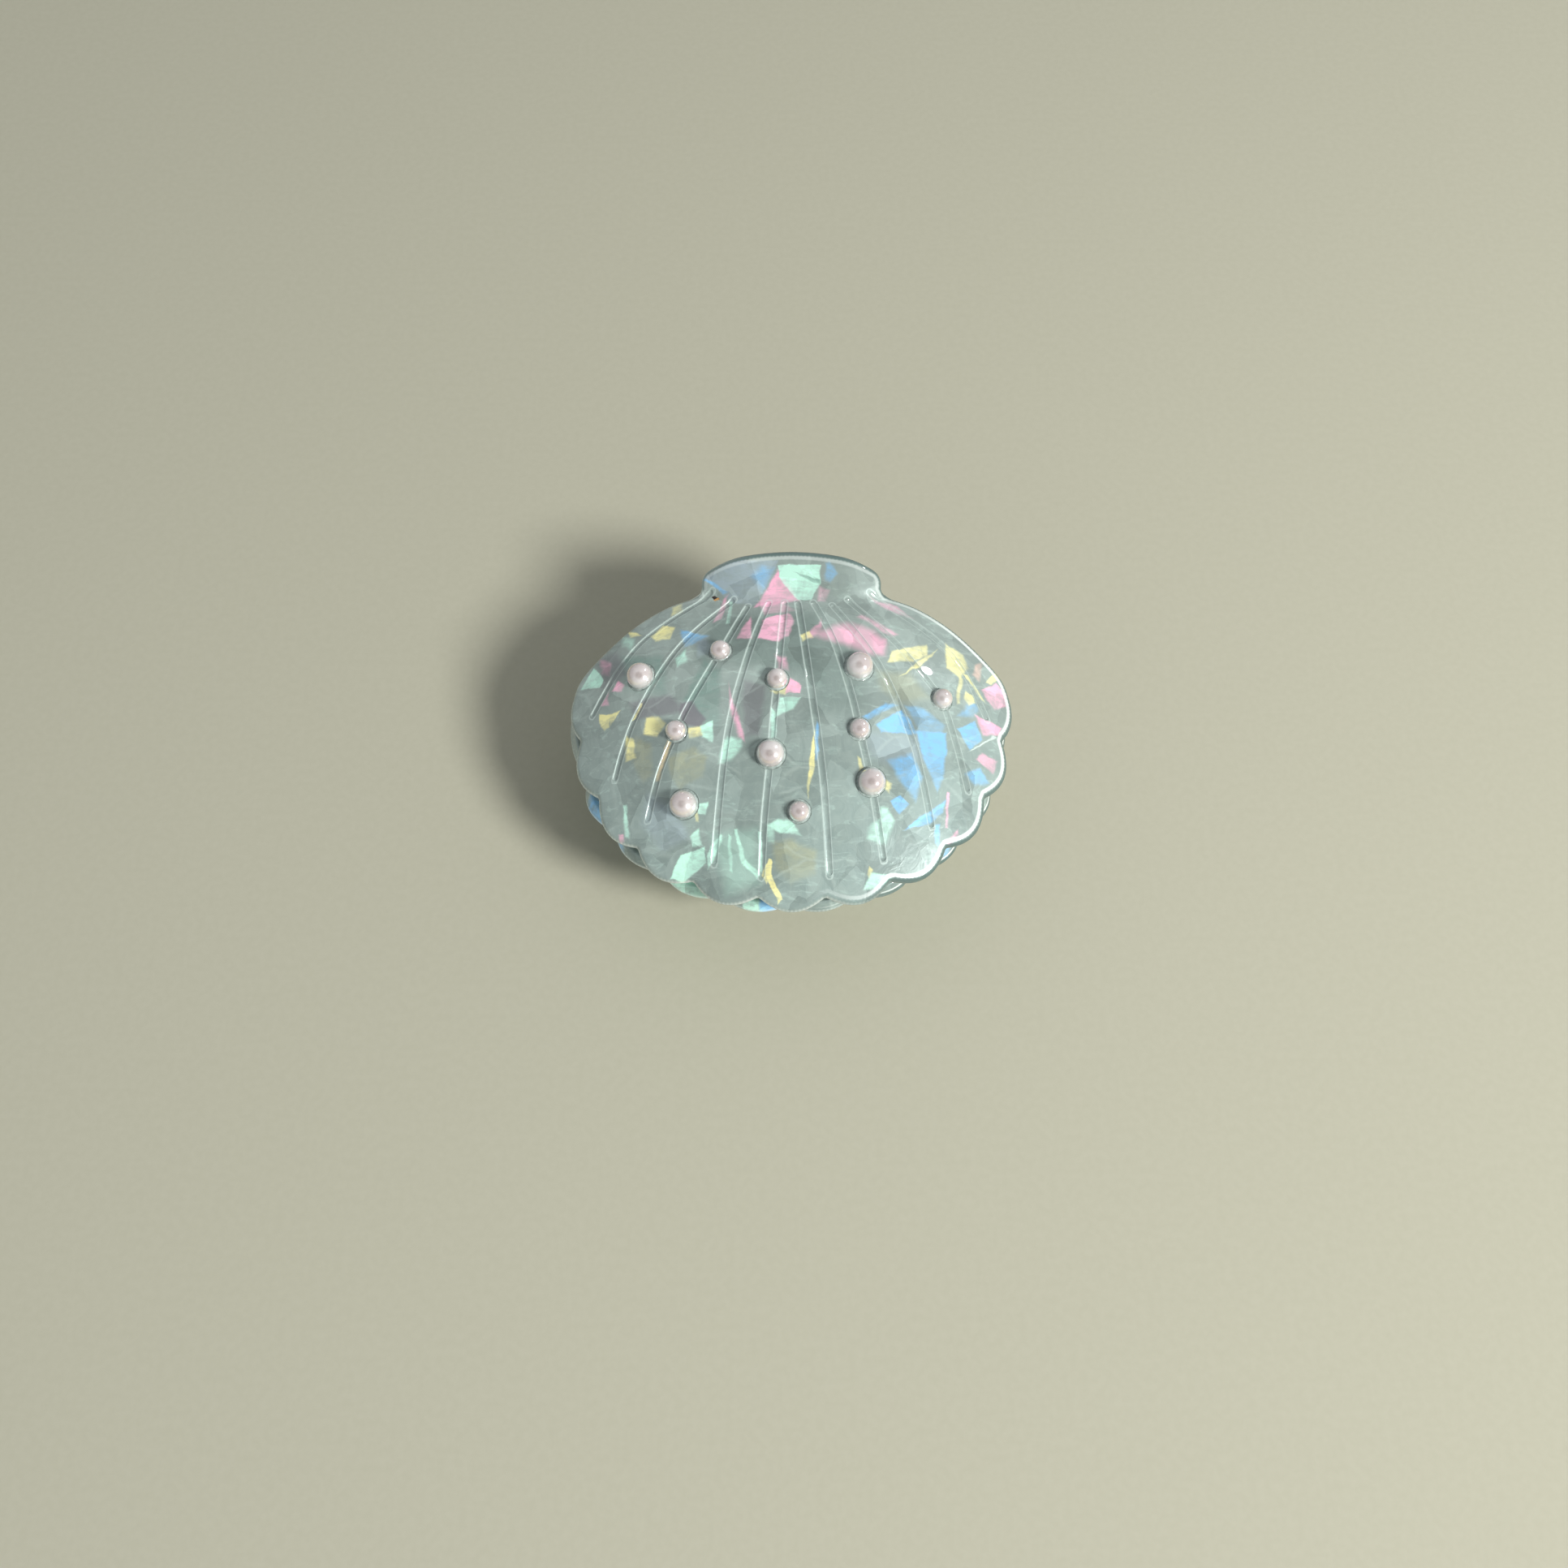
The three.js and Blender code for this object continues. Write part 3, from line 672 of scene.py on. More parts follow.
# Flakes of foil in the sheet: colour, how solid it looks, how soft its edge is (mm), and its corners (mm).
FLAKES = [
    # tints that lie deep in the sheet; the first two are painted shade, the dark inside of the clip seen
    # through the sheet
    (INSIDE_SHADE, 0.55, 2.5, [(-12, 9), (4, 10), (4, -2), (-14, 2)]),
    (INSIDE_SHADE, 0.45, 3.0, [(4, 6), (12, 6), (10, -6), (2, -8)]),
    (TEAL, 0.5, 0.8, [(-15.5, -4), (-12.5, 2), (-10.4, 0), (-10.2, -9), (-12.4, -8)]),
    (TEAL, 0.55, 1.0, [(-25, 5), (-19, 3.6), (-18, -3), (-24, -1)]),
    (PLUM, 0.6, 0.7, [(-23.8, -3), (-17.5, -3), (-15, -6), (-22.5, -6)]),
    (PLUM, 0.75, 0.4, [(-16, -4.5), (-14.4, -4.3), (-12.3, -7.4), (-13, -8.7), (-15.8, -7.6)]),
    (PLUM, 0.5, 0.8, [(-7, -2), (-3.6, -3), (-4.6, -10.4), (-6.8, -10.6)]),
    (PLUM, 0.4, 1.0, [(-29, 6), (-26, 6.5), (-24, 2), (-28, 0)]),
    (SLATE, 0.8, 0.25, [(-13, 16.2), (-8, 18.1), (-1.8, 18), (-5.4, 11.4), (-8.3, 11.9), (-10.6, 13.8)]),
    (SLATE, 0.5, 1.5, [(10.5, -9.5), (18, -9), (19, -12.6), (13.4, -13.6), (11.4, -13)]),
    (SLATE, 0.5, 1.0, [(-20.5, -17), (-16, -20), (-14.6, -23.6), (-18.4, -25), (-21.5, -21)]),
    (KHAKI, 0.55, 0.6, [(-17.6, -12.6), (-14, -11.4), (-12, -13), (-12.6, -15.6), (-16, -17), (-17.2, -15)]),
    (KHAKI, 0.5, 0.8, [(-2.6, -25), (0, -24.6), (3.4, -26), (3.2, -28.8), (0, -30), (-2.4, -28)]),
    (KHAKI, 0.5, 0.7, [(-22.6, -8.6), (-20.4, -10), (-19.8, -14.4), (-21.2, -15.4), (-22.9, -12.4)]),
    (KHAKI, 0.4, 1.2, [(12.5, 0), (17, 0.4), (20, -3), (16, -4.6), (13, -3)]),
    (MINT, 0.3, 1.5, [(-11.4, -23.6), (-5, -23), (-4.6, -30), (-9, -31)]),
    # blue, right
    (BLUE, 0.85, 0.3, [(10.1, -7.3), (13.6, -4.9), (15.2, -5), (11, -7.7)]),
    (BLUE, 0.95, 0.3, [(12, -8.3), (15.9, -5.6), (18, -8.8), (12.6, -9.4)]),
    (BLUE, 0.5, 0.5, [(16.5, -4.9), (19.2, -4.9), (22, -7), (21.6, -8.2), (18.2, -8.4)]),
    (BLUE, 0.9, 0.4, [(17.9, -8.5), (22.2, -8), (22.3, -10.6), (21.6, -14.8), (20.8, -16.5), (18.9, -12.5)]),
    (BLUE, 0.85, 0.6, [(13.8, -13.2), (17.2, -12), (18.6, -15), (17.6, -18.2), (15.2, -15.8)]),
    (BLUE, 0.9, 0.2, [(13.9, -18.9), (15.3, -17.8), (16.7, -18.9), (15.3, -20.4)]),
    (BLUE, 0.9, 0.25, [(15.6, -22.4), (18.4, -20.4), (22.3, -17.2), (21.7, -19.4), (18.4, -21.7)]),
    (BLUE, 0.9, 0.25, [(24, -7), (27, -5.2), (27.8, -7.8), (25.9, -9.8)]),
    (BLUE, 0.75, 0.5, [(25.2, -13.4), (27.3, -12.2), (28.8, -13.9), (26.4, -14.8)]),
    (BLUE, 0.6, 0.5, [(24.4, -4.9), (26.6, -1.8), (27.4, -3.4), (26.6, -4.6)]),
    (BLUE, 0.7, 0.3, [(20.4, -21), (21.2, -20.8), (21, -24), (20.4, -23.6)]),
    (PALE, 0.9, 0.15, [(25.8, -10), (26.2, -9.8), (30.2, -6.8), (29.8, -6.6)]),
    # pink, yellow and peach, right
    (PINK, 0.55, 1.2, [(5.8, 7), (8.2, 8.2), (12, 7), (13.8, 5), (13.4, 3), (11.6, 2.8), (8.5, 3.8)]),
    (PINK, 0.7, 0.5, [(6.9, 6.8), (8.8, 6.4), (9.2, 4.6), (8, 4)]),
    (PINK, 0.6, 0.6, [(11.6, 6.2), (13.9, 5.6), (13.2, 2.8), (12.2, 3)]),
    (PINK, 0.5, 0.5, [(10.4, 10), (15.6, 7), (14.6, 6.4), (9.8, 9.4)]),
    (PINK, 0.5, 0.4, [(11.6, 13.4), (15.8, 12.6), (18, 10.6), (14, 11.8)]),
    (YELLOW, 0.9, 0.3, [(13.9, 1.9), (14.7, 3.6), (16.5, 4.6), (20, 6), (20, 4.2), (17.8, 2.6)]),
    (YELLOW, 0.8, 0.2, [(16, 0), (18.8, 2), (21.6, 5.4), (18.9, 3.2)]),
    (YELLOW, 0.85, 0.4, [(22.8, 2.6), (23, 7), (25.6, 5.6), (26, 3.4), (24.9, 1.4)]),
    (YELLOW, 0.6, 0.3, [(24.6, 1.5), (25.2, 1.4), (24.6, -3), (24.1, -3.2)]),
    (YELLOW, 0.75, 0.2, [(25.4, 2.4), (26, 2.2), (28.6, -1.6), (28, -1.4)]),
    (YELLOW, 0.8, 0.25, [(26, 0.8), (26.6, -1.2), (27.6, -1.9), (26, -2.9), (25.4, -2)]),
    (YELLOW, 0.8, 0.25, [(29, 1.9), (30.6, 3.9), (31.4, 3.2), (29.6, 1.7)]),
    (PEACH, 0.7, 0.4, [(26.8, 2.4), (27.4, 4.4), (28.6, 5.2), (27.8, 1.6)]),
    (PINK, 0.95, 0.25, [(28.3, 0.3), (30.6, 2.2), (32.2, 0.6), (31.8, -1.3)]),
    (PINK, 0.6, 0.3, [(28.2, 0.2), (31.8, -1.2), (30.2, -2.4), (28.9, -1.2)]),
    (PINK, 0.9, 0.3, [(27, -4.2), (31, -5.2), (30.4, -6.4), (28, -7.1)]),
    (PINK, 0.65, 0.3, [(26.9, -10.9), (27.8, -9.9), (30.2, -10.4), (29.4, -12.4)]),
    (PINK, 0.7, 0.2, [(22.3, -16.6), (22.7, -16.6), (22.3, -21.4), (22, -21.4)]),
    (PINK, 0.7, 0.3, [(21.9, -23.4), (23.8, -21.3), (24, -21.9), (22.6, -23.4)]),
    # the ear and under it
    (BLUE, 0.6, 1.0, [(-5.8, 15.6), (-4.4, 17.2), (-2.6, 16.8), (-4.2, 13.6)]),
    (BLUE, 0.9, 0.2, [(-13.2, 16), (-12.7, 16), (-9.4, 13.6), (-10, 13.5)]),
    # painted highlight: a small pale glint on the ear
    (PALE, 0.9, 0.2, [(-13.7, 15.2), (-13.3, 15), (-13.1, 13.9), (-13.8, 14)]),
    (PINK, 0.85, 0.35, [(-2, 16.6), (-5.4, 11), (-2, 11.4), (1.2, 12), (-0.4, 14.6)]),
    (MINT, 1.0, 0.2, [(-1.9, 17.3), (4.2, 17.3), (4.2, 14.7), (2.9, 12.3), (0.9, 12.2), (-1.8, 15.6)]),
    # painted shade: a thin dark line across the mint flake
    (TEAL, 0.6, 0.15, [(0.6, 16.2), (4.1, 15.3), (4.1, 14.6), (2.6, 15.2)]),
    (BLUE, 0.65, 0.4, [(5, 17.6), (5.6, 17.8), (6.8, 16), (5.7, 14.9), (5, 15.2)]),
    (PINK, 0.4, 0.4, [(4, 14.2), (5.6, 13.8), (5, 12), (3.9, 12)]),
    (PINK, 0.75, 0.3, [(-8.1, 5.2), (-7.2, 6.8), (-6, 10), (-5.9, 5)]),
    (PINK, 0.95, 0.3, [(-4.8, 4.9), (-4.2, 8.4), (-0.4, 9.6), (0.5, 8), (-0.4, 5.4), (-2.2, 4.3)]),
    (PINK, 0.6, 0.5, [(-4.8, 12), (-2, 12.4), (0.4, 10), (-3.8, 9.4)]),
    (PINK, 0.6, 0.4, [(1.8, 5), (3.2, 6.8), (4.3, 8.6), (4.2, 6.4), (2.8, 4.8)]),
    (YELLOW, 0.8, 0.3, [(1.2, 5.4), (2.6, 6), (3, 5), (1.5, 4.4)]),
    (PINK, 0.6, 0.3, [(-10, 12.8), (-9.4, 13.2), (-10.2, 9), (-11.6, 8.6)]),
    (MINT, 0.5, 0.2, [(-9.6, 8), (-9, 12.4), (-8.6, 12.4), (-9, 8)]),
    (SCORCH, 1.0, 0.12, [(-12, 13.4), (-11.3, 13.5), (-10.7, 12.8), (-11.5, 12.8)]),
    (AMBER, 0.9, 0.1, [(-11.7, 12.9), (-10.8, 13.1), (-10.6, 12.8), (-11.4, 12.6)]),
    # round the middle beads
    (PINK, 0.6, 0.5, [(-2.2, 1.8), (-0.8, 1.4), (-0.4, -0.6), (-1.8, -0.4)]),
    (YELLOW, 0.75, 0.25, [(-2.9, -4), (-0.8, -1.6), (-0.2, -2.4), (-0.8, -4.5)]),
    (PINK, 0.95, 0.2, [(-0.2, -1.8), (1.4, -3), (1.2, -4.2), (-0.9, -4.3)]),
    (MINT, 0.8, 0.3, [(-1.7, -4.9), (1.2, -5), (0.2, -6.6), (-2.5, -7.8)]),
    (MINT, 0.7, 0.3, [(-2.9, -6.4), (-2.4, -7), (-2.2, -10.8), (-3, -10.8)]),
    (PINK, 0.85, 0.4, [(-8.8, -3.6), (-8.1, -6), (-6.7, -11), (-7.6, -10.4), (-8.6, -7)]),
    (MINT, 0.8, 0.6, [(-9, -10.2), (-7.1, -11), (-7, -12), (-8.4, -13.6), (-10.2, -14), (-9.9, -12)]),
    (YELLOW, 0.95, 0.2, [(2.9, -8.4), (3.3, -10), (3.2, -15), (2.1, -19.2), (1.7, -18.6), (2.5, -14)]),
    (BLUE, 0.7, 0.25, [(3.5, -8.4), (4, -9), (3.7, -14), (3.3, -14)]),
    (YELLOW, 0.8, 0.3, [(13, -15.8), (14.2, -16.6), (13.8, -17.8), (12.8, -17)]),
    (YELLOW, 0.6, 0.25, [(9.3, -13.2), (9.8, -13.4), (10.2, -15), (9.6, -15.4)]),
    # left
    (YELLOW, 0.85, 0.25, [(-24.6, 10), (-22.4, 8.4), (-24, 8.5)]),
    (YELLOW, 0.55, 0.4, [(-17.9, 11), (-17.6, 12.8), (-16.2, 13.4), (-16.2, 11.6)]),
    (YELLOW, 0.9, 0.3, [(-20.9, 7.9), (-19, 9.5), (-17.4, 8.7), (-17.8, 6.6), (-20, 6.7)]),
    (BLUE, 0.8, 0.4, [(-16.4, 7.9), (-14.6, 7.1), (-12.2, 6), (-14, 5), (-15.7, 4.6)]),
    (SLATE, 0.6, 0.6, [(-14, 5.4), (-12.2, 6), (-11.4, 3), (-13.6, 2.6)]),
    (MINT, 0.7, 0.4, [(-16.9, 2.9), (-15.6, 4.1), (-15.2, 1.9), (-16.6, 1.4)]),
    (MINT, 0.95, 0.2, [(-29.5, 4.4), (-27.9, 1.9), (-28.3, 0.7), (-31.4, 1.3), (-30.6, 3.1)]),
    (MINT, 0.5, 0.6, [(-25.4, 9.2), (-23.4, 8), (-23.6, 6), (-25.2, 7)]),
    (PINK, 0.5, 0.5, [(-28.6, 5.6), (-26.8, 4.5), (-27, 2.5), (-28.3, 2.9)]),
    (PINK, 0.85, 0.25, [(-26.5, -0.4), (-25.6, 1.2), (-24.5, 0), (-24.8, -0.9)]),
    (PINK, 0.7, 0.3, [(-28.1, -2.5), (-27, -0.6), (-26.9, -2.7)]),
    (YELLOW, 0.9, 0.2, [(-28.3, -3.8), (-26.5, -4.1), (-26.6, -6.2), (-27.2, -6.5), (-28.1, -5)]),
    (YELLOW, 0.75, 0.15, [(-26.6, -4.2), (-25, -3.9), (-26.4, -6)]),
    (YELLOW, 0.85, 0.4, [(-21.3, -8.4), (-21, -6), (-19.2, -6.2), (-18, -7.4), (-19.4, -9)]),
    (YELLOW, 0.8, 0.3, [(-15, -8.5), (-12.9, -8.5), (-12.5, -9.9), (-14.6, -9.9)]),
    (MINT, 0.9, 0.25, [(-13, -8.5), (-11.3, -7.8), (-11.2, -10.9), (-12.7, -10.2)]),
    (YELLOW, 0.95, 0.35, [(-24, -8.2), (-22.8, -9), (-22.5, -11.6), (-23.9, -11.9)]),
    (SAND, 0.8, 0.2, [(-17.8, -9.8), (-17.2, -10), (-18.8, -15.4), (-19.4, -15.2)]),
    (YELLOW, 0.7, 0.15, [(-23.2, -6), (-22.8, -5.8), (-21.6, -3.4), (-22, -3.4)]),
    (MINT, 0.75, 0.25, [(-24.2, -18), (-23.7, -18), (-23.3, -22.6), (-23.9, -22.2)]),
    (PINK, 0.7, 0.25, [(-24.9, -21.8), (-24.2, -21.8), (-24, -22.8), (-24.6, -22.9)]),
    (MINT, 0.85, 0.2, [(-13.2, -19.2), (-11.8, -19.3), (-12.2, -20.7), (-13.2, -20.5)]),
    (YELLOW, 0.6, 0.2, [(-13.8, -18.8), (-13.3, -19), (-13.2, -21.6), (-13.7, -21.4)]),
    # the folds along the front
    (MINT, 1.0, 0.2, [(-17.3, -28.5), (-15.8, -25.6), (-12.4, -25), (-12.1, -27), (-15.4, -29.2)]),
    (MINT, 0.7, 0.3, [(-14.3, -23.4), (-13.2, -22.7), (-12.7, -24.8), (-14, -24.8)]),
    (MINT, 0.9, 0.25, [(-10, -23.6), (-9.8, -24.4), (-11.8, -27.8), (-12, -26.2), (-11.4, -24.8)]),
    (MINT, 0.8, 0.25, [(-9, -23.6), (-8.6, -23.8), (-8.3, -28.4), (-8.7, -28.2)]),
    (MINT, 0.95, 0.2, [(-8.2, -23), (-7.8, -23), (-6.4, -27), (-7, -27.4)]),
    (MINT, 0.95, 0.2, [(-7, -27.2), (-6.4, -26.8), (-4.6, -28.8), (-4.9, -29.4)]),
    (MINT, 0.85, 0.25, [(-4.6, -23.4), (-4.2, -23.4), (-4.2, -28.6), (-4.6, -28.4)]),
    (MINT, 0.9, 0.3, [(-3.2, -22.6), (-1.9, -21.9), (0, -22.2), (1.3, -24), (-1.6, -23.6)]),
    (MINT, 0.6, 0.4, [(-3.4, -22.4), (-2.4, -22.4), (-2.6, -25), (-3.3, -24.8)]),
    (YELLOW, 0.95, 0.15, [(-3.3, -26.8), (-2.9, -27), (-2.8, -29), (-3.5, -30), (-4.3, -28.8)]),
    (YELLOW, 0.95, 0.15, [(-3.6, -29), (-2.8, -28.8), (-1.4, -32.2), (-1.9, -32.6)]),
    (MINT, 0.65, 0.5, [(12.6, -19.8), (13.6, -19.8), (14.4, -21.4), (13.2, -24.6), (12.4, -24.2)]),
    (MINT, 0.6, 0.5, [(12.3, -21.4), (12.3, -24.4), (10.6, -24.2), (10.8, -22.6)]),
    (MINT, 0.9, 0.25, [(10.2, -30.4), (11.2, -28.4), (14.6, -28.3), (12.2, -30)]),
    (YELLOW, 0.6, 0.2, [(11, -27.6), (11.5, -28), (11, -28.9), (10.7, -28.6)]),
]
BACK_FLAKES = [
    (BLUE, 0.8, 0.6, [(-29, -14), (-24, -18), (-24, -24), (-30, -20)]),
    (MINT, 0.8, 0.6, [(-18, -24), (-8, -27), (-8, -34), (-18, -31)]),
    (MINT, 0.9, 0.4, [(-6, -30), (-3, -31), (-3.6, -34), (-7, -33)]),
    (BLUE, 0.95, 0.3, [(-4, -30), (0, -31), (-1, -34.5), (-4.4, -34)]),
    (MINT, 0.7, 0.6, [(6, -20), (14, -24), (18, -20), (10, -14)]),
    (PINK, 0.8, 0.5, [(-14, -6), (-6, -4), (-8, -14), (-13, -16)]),
    (PINK, 0.7, 0.5, [(12, 4), (20, 2), (18, -6), (13, -5)]),
    (YELLOW, 0.85, 0.4, [(18, -8), (26, -6), (24, -16), (19, -14)]),
    (YELLOW, 0.8, 0.4, [(-26, 4), (-18, 6), (-20, -2), (-25, -4)]),
    (BLUE, 0.85, 0.5, [(-4, -12), (4, -10), (6, -18), (-1, -22)]),
    (BLUE, 0.8, 0.5, [(20, -18), (26, -17), (23, -24), (18, -24)]),
    (MINT, 0.9, 0.3, [(-4, 16), (3, 17), (4, 12), (-2, 11)]),
    (PINK, 0.8, 0.4, [(5, 16), (11, 16), (9, 12), (5, 12)]),
    (TEAL, 0.6, 1.2, [(-12, 8), (0, 8), (2, -4), (-10, -4)]),
    (YELLOW, 0.8, 0.3, [(2, 3), (8, 6), (9, 0), (4, -3)]),
]


def make_flake_group():
    """Lays one flake over the colour that comes in: a convex patch, brightest along its first edge."""
    paint = Paint(bpy.data.node_groups.new("flake", "ShaderNodeTree"))
    sockets = [("Colour", "Color"), ("Spot", "Vector"), ("Glow", "Float"), ("Tint", "Color")]
    sockets += [(name, "Float") for name in ("Strength", "Softness", "Fade")]
    sockets += [(f"Edge {k}", "Vector") for k in range(MOST_EDGES)]
    for name, kind in sockets:
        paint.tree.interface.new_socket(name, in_out="INPUT", socket_type=f"NodeSocket{kind}")
    for name, kind in (("Colour", "Color"), ("Spot", "Vector")):
        paint.tree.interface.new_socket(name, in_out="OUTPUT", socket_type=f"NodeSocket{kind}")
    given = paint.tree.nodes.new("NodeGroupInput").outputs
    result = paint.tree.nodes.new("NodeGroupOutput").inputs
    distances = [paint.vector("DOT_PRODUCT", given["Spot"], given[f"Edge {k}"], 1) for k in range(MOST_EDGES)]
    inside = distances[0]
    for distance in distances[1:]:
        inside = paint.math("MINIMUM", inside, distance)
    half = paint.times(given["Softness"], SOFT_SHARE)
    mask = paint.ramp(inside, paint.times(half, -1.0), half)
    fading = paint.ramp(distances[0], 0.0, given["Fade"], 1.0, FAR_STRENGTH)
    mask = paint.times(paint.times(mask, fading), given["Glow"])
    mask = paint.times(mask, given["Strength"])
    colour = paint.mix(mask, given["Colour"], given["Tint"])
    paint.feed(colour, result["Colour"])
    # The spot goes on by way of the colour, so the renderer finishes one flake before it starts the next
    # and its shader memory is enough for them all. It shifts the spot by a millionth of a millimetre.
    trace = paint.stretch(colour, 1e-6, 1e-6, 0)
    paint.feed(paint.vector("ADD", given["Spot"], trace), result["Spot"])
    return paint.tree


def flake_edges(corners):
    """For each edge, the vector whose dot product with (x, y, 1) is the distance inwards from that edge."""
    middle = np.mean(corners, axis=0)
    edges = []
    for a, b in zip(corners, corners[1:] + corners[:1]):
        across = unit(np.array([a[1] - b[1], b[0] - a[0]], float))
        if across @ (middle - a) < 0:
            across = -across
        edges.append((across[0], across[1], -(across @ a)))
    return edges + [(0, 0, 1000)] * (MOST_EDGES - len(edges))


def lay_flake(paint, group, below, spot, glow, flake):
    tint, strength, soft, corners = flake
    edges = flake_edges(corners)
    node = paint.tree.nodes.new("ShaderNodeGroup")
    node.node_tree = group
    deep = soft >= DEEP_SOFTNESS or tint in (SCORCH, PLUM)
    reach = max(np.dot(edges[0], (x, y, 1)) for x, y in corners)
    glow, fade = (1.0, NO_FADE) if deep else (glow, reach * 1.1)
    values = [below, spot, glow, tint, strength, soft, fade, *edges]
    for value, socket in zip(values, node.inputs):
        paint.feed(value, socket)
    return node.outputs["Colour"], node.outputs["Spot"]


def make_acetate(jaw, group, flakes):
    """Pearly cellulose sheet: crumpled foil flakes in a grey-green base under a clear polished coat, with
    painted highlights and shade on its rim and grooves and a faint painted glow.
    """
    paint = Surface(f"{jaw.shell}_acetate")
    shift, grow = -jaw.origin / MM, 1 / MM
    # millimetres about the jaw's origin
    at = paint.node("Mapping", {"Vector": paint.where, "Location": shift, "Scale": (grow, grow, grow)})[0]
    x, y = paint.node("SeparateXYZ", {0: at})[:2]
    wander = paint.vector("SUBTRACT", paint.noise(at, 0.45, 3.0, 0.55, output=1), (0.5, 0.5, 0.5))
    moved = paint.vector("ADD", at, paint.stretch(wander, 0.9, 0.9, 0))
    spot = paint.vector("ADD", paint.stretch(moved, 1, 1, 0), (0, 0, 1))

    # crumple: flat shards of a slightly different shade, and thin bright folds between some of them
    skew = paint.stretch(moved, 1.0, 0.62, 0.3)
    shard = paint.cells(skew, 0.2)
    small = paint.cells(paint.stretch(moved, 0.6, 1.0, 0.3), 0.42)
    small = paint.ramp(small, 0.1, 0.9, -0.09, 0.08)
    tone = paint.math("ADD", paint.ramp(shard, 0.1, 0.9, -0.17, 0.14), small)
    fold = paint.stretch(moved, 0.5, 0.9, 0.2)
    fold = paint.cells(fold, 0.16, "DISTANCE_TO_EDGE", "Distance")
    some = paint.ramp(paint.noise(at, 0.12, 1.0), 0.5, 0.62)
    crease = paint.times(paint.ramp(fold, 0.0, 0.035, 1.0, 0.0), some)
    silk = paint.noise(paint.stretch(moved, 1.0, 0.7, 1), 0.35, 3.0, 0.55, 1.5)

    # base: a little deeper towards the front and the right
    deeper = paint.ramp(y, -30.0, 8.0, 1.0, 0.0)
    deeper = paint.math("ADD", deeper, paint.ramp(x, -10.0, 30.0, -0.1, 0.25), clamp=True)
    colour = paint.mix(deeper, rgb(150, 165, 160), rgb(139, 157, 153))
    colour = paint.mix(paint.ramp(silk, 0.35, 0.75, 0.0, 0.3), colour, rgb(176, 192, 185))

    # long streaks, pale in the base and brighter in the flakes
    streak = paint.noise(paint.stretch(moved, 0.35, 1.1, 1), 0.9, 3.0, 0.6, 1.0)
    glow = paint.ramp(silk, 0.3, 0.6, 0.8, 1.15)
    glow = paint.times(glow, paint.ramp(streak, 0.35, 0.6, 0.75, 1.15))
    veil = paint.ramp(streak, 0.54, 0.7, 0.0, 0.22)
    colour = paint.mix(veil, colour, rgb(198, 226, 216))
    for flake in flakes:
        colour, spot = lay_flake(paint, group, colour, spot, glow, flake)

    colour = paint.scale(colour, paint.math("ADD", 1.0, tone))
    colour = paint.mix(paint.times(crease, 0.16), colour, PALE)

    # painted highlight: each groove gets a pale line along its two lips, where it catches the light
    groove = paint.stored("groove")
    lip_highlight = paint.ramp(groove, 0.52, 0.66, 1.0, 0.0)
    lip_highlight = paint.times(paint.ramp(groove, 0.34, 0.42), lip_highlight)
    colour = paint.mix(paint.times(lip_highlight, 0.36), colour, rgb(214, 232, 226))
    # painted light on the polished edge: a painted dark band with a painted highlight line inside it on the
    # right, and a painted highlight along its outside on the left
    edge = paint.stored("edge")
    right = paint.ramp(paint.math("ADD", x, paint.times(y, 0.5)), -16.0, 6.0)
    rim_shade_band = paint.times(paint.ramp(edge, 0.55, 0.9, 0.9, 0.0), right)
    colour = paint.mix(rim_shade_band, colour, rgb(84, 108, 105))
    line = paint.times(paint.ramp(edge, 0.75, 0.92), paint.ramp(edge, 1.15, 1.4, 0.95, 0.0))
    line = paint.times(paint.times(line, right), paint.ramp(y, 8.0, 15.0, 0.85, 0.3))
    outer = paint.times(paint.ramp(edge, 0.25, 0.6, 0.6, 0.0), paint.math("SUBTRACT", 1.0, right))
    colour = paint.mix(paint.math("MAXIMUM", line, outer), colour, rgb(244, 254, 250))

    relief = paint.math("ADD", paint.ramp(shard, 0.0, 1.0, 0.0, 0.6), paint.times(silk, 0.5))
    paint.set(
        Base_Color=colour,
        Metallic=0.1,
        Roughness=paint.ramp(silk, 0.3, 0.7, 0.42, 0.3),
        IOR=1.48,
        Specular_IOR_Level=0.2,
        Normal=paint.bump(relief, 0.35, 0.0004),
        Coat_Weight=1.0,
        Coat_Roughness=0.03,
        Coat_IOR=1.5,
        # painted light: the sheet glows faintly in its own colour, standing for light that soaks through it
        # from behind and lightening the shade between the shells
        Emission_Color=colour,  # stands for light that soaks through the sheet from behind
        Emission_Strength=0.13,
    )
    return paint.material


def make_pearl_paint():
    """Imitation pearl: a pinkish white lacquer with soft clouds and a shell-like sheen."""
    paint = Surface("pearl_lacquer")
    cloud = paint.noise(paint.where, 420, 3.0, 0.5)
    colour = paint.mix(paint.ramp(cloud, 0.35, 0.7), rgb(234, 222, 220), rgb(255, 250, 248))
    paint.set(
        Base_Color=colour,
        Metallic=0.5,
        Roughness=paint.ramp(cloud, 0.3, 0.7, 0.12, 0.2),
        Coat_Weight=0.8,
        Coat_Roughness=0.06,
        Normal=paint.bump(paint.noise(paint.where, 2500, 2.0), 0.06, 0.00005),
    )
    return paint.material


def make_glue_paint():
    paint = Surface("clear_glue")
    bubbles = paint.noise(paint.where, 1800, 2.0)
    paint.set(
        Base_Color=paint.mix(paint.ramp(bubbles, 0.3, 0.7), rgb(150, 165, 160), rgb(186, 200, 196)),
        Roughness=paint.ramp(bubbles, 0.3, 0.7, 0.05, 0.14),
        Coat_Weight=1.0,
        Coat_Roughness=0.03,
    )
    return paint.material


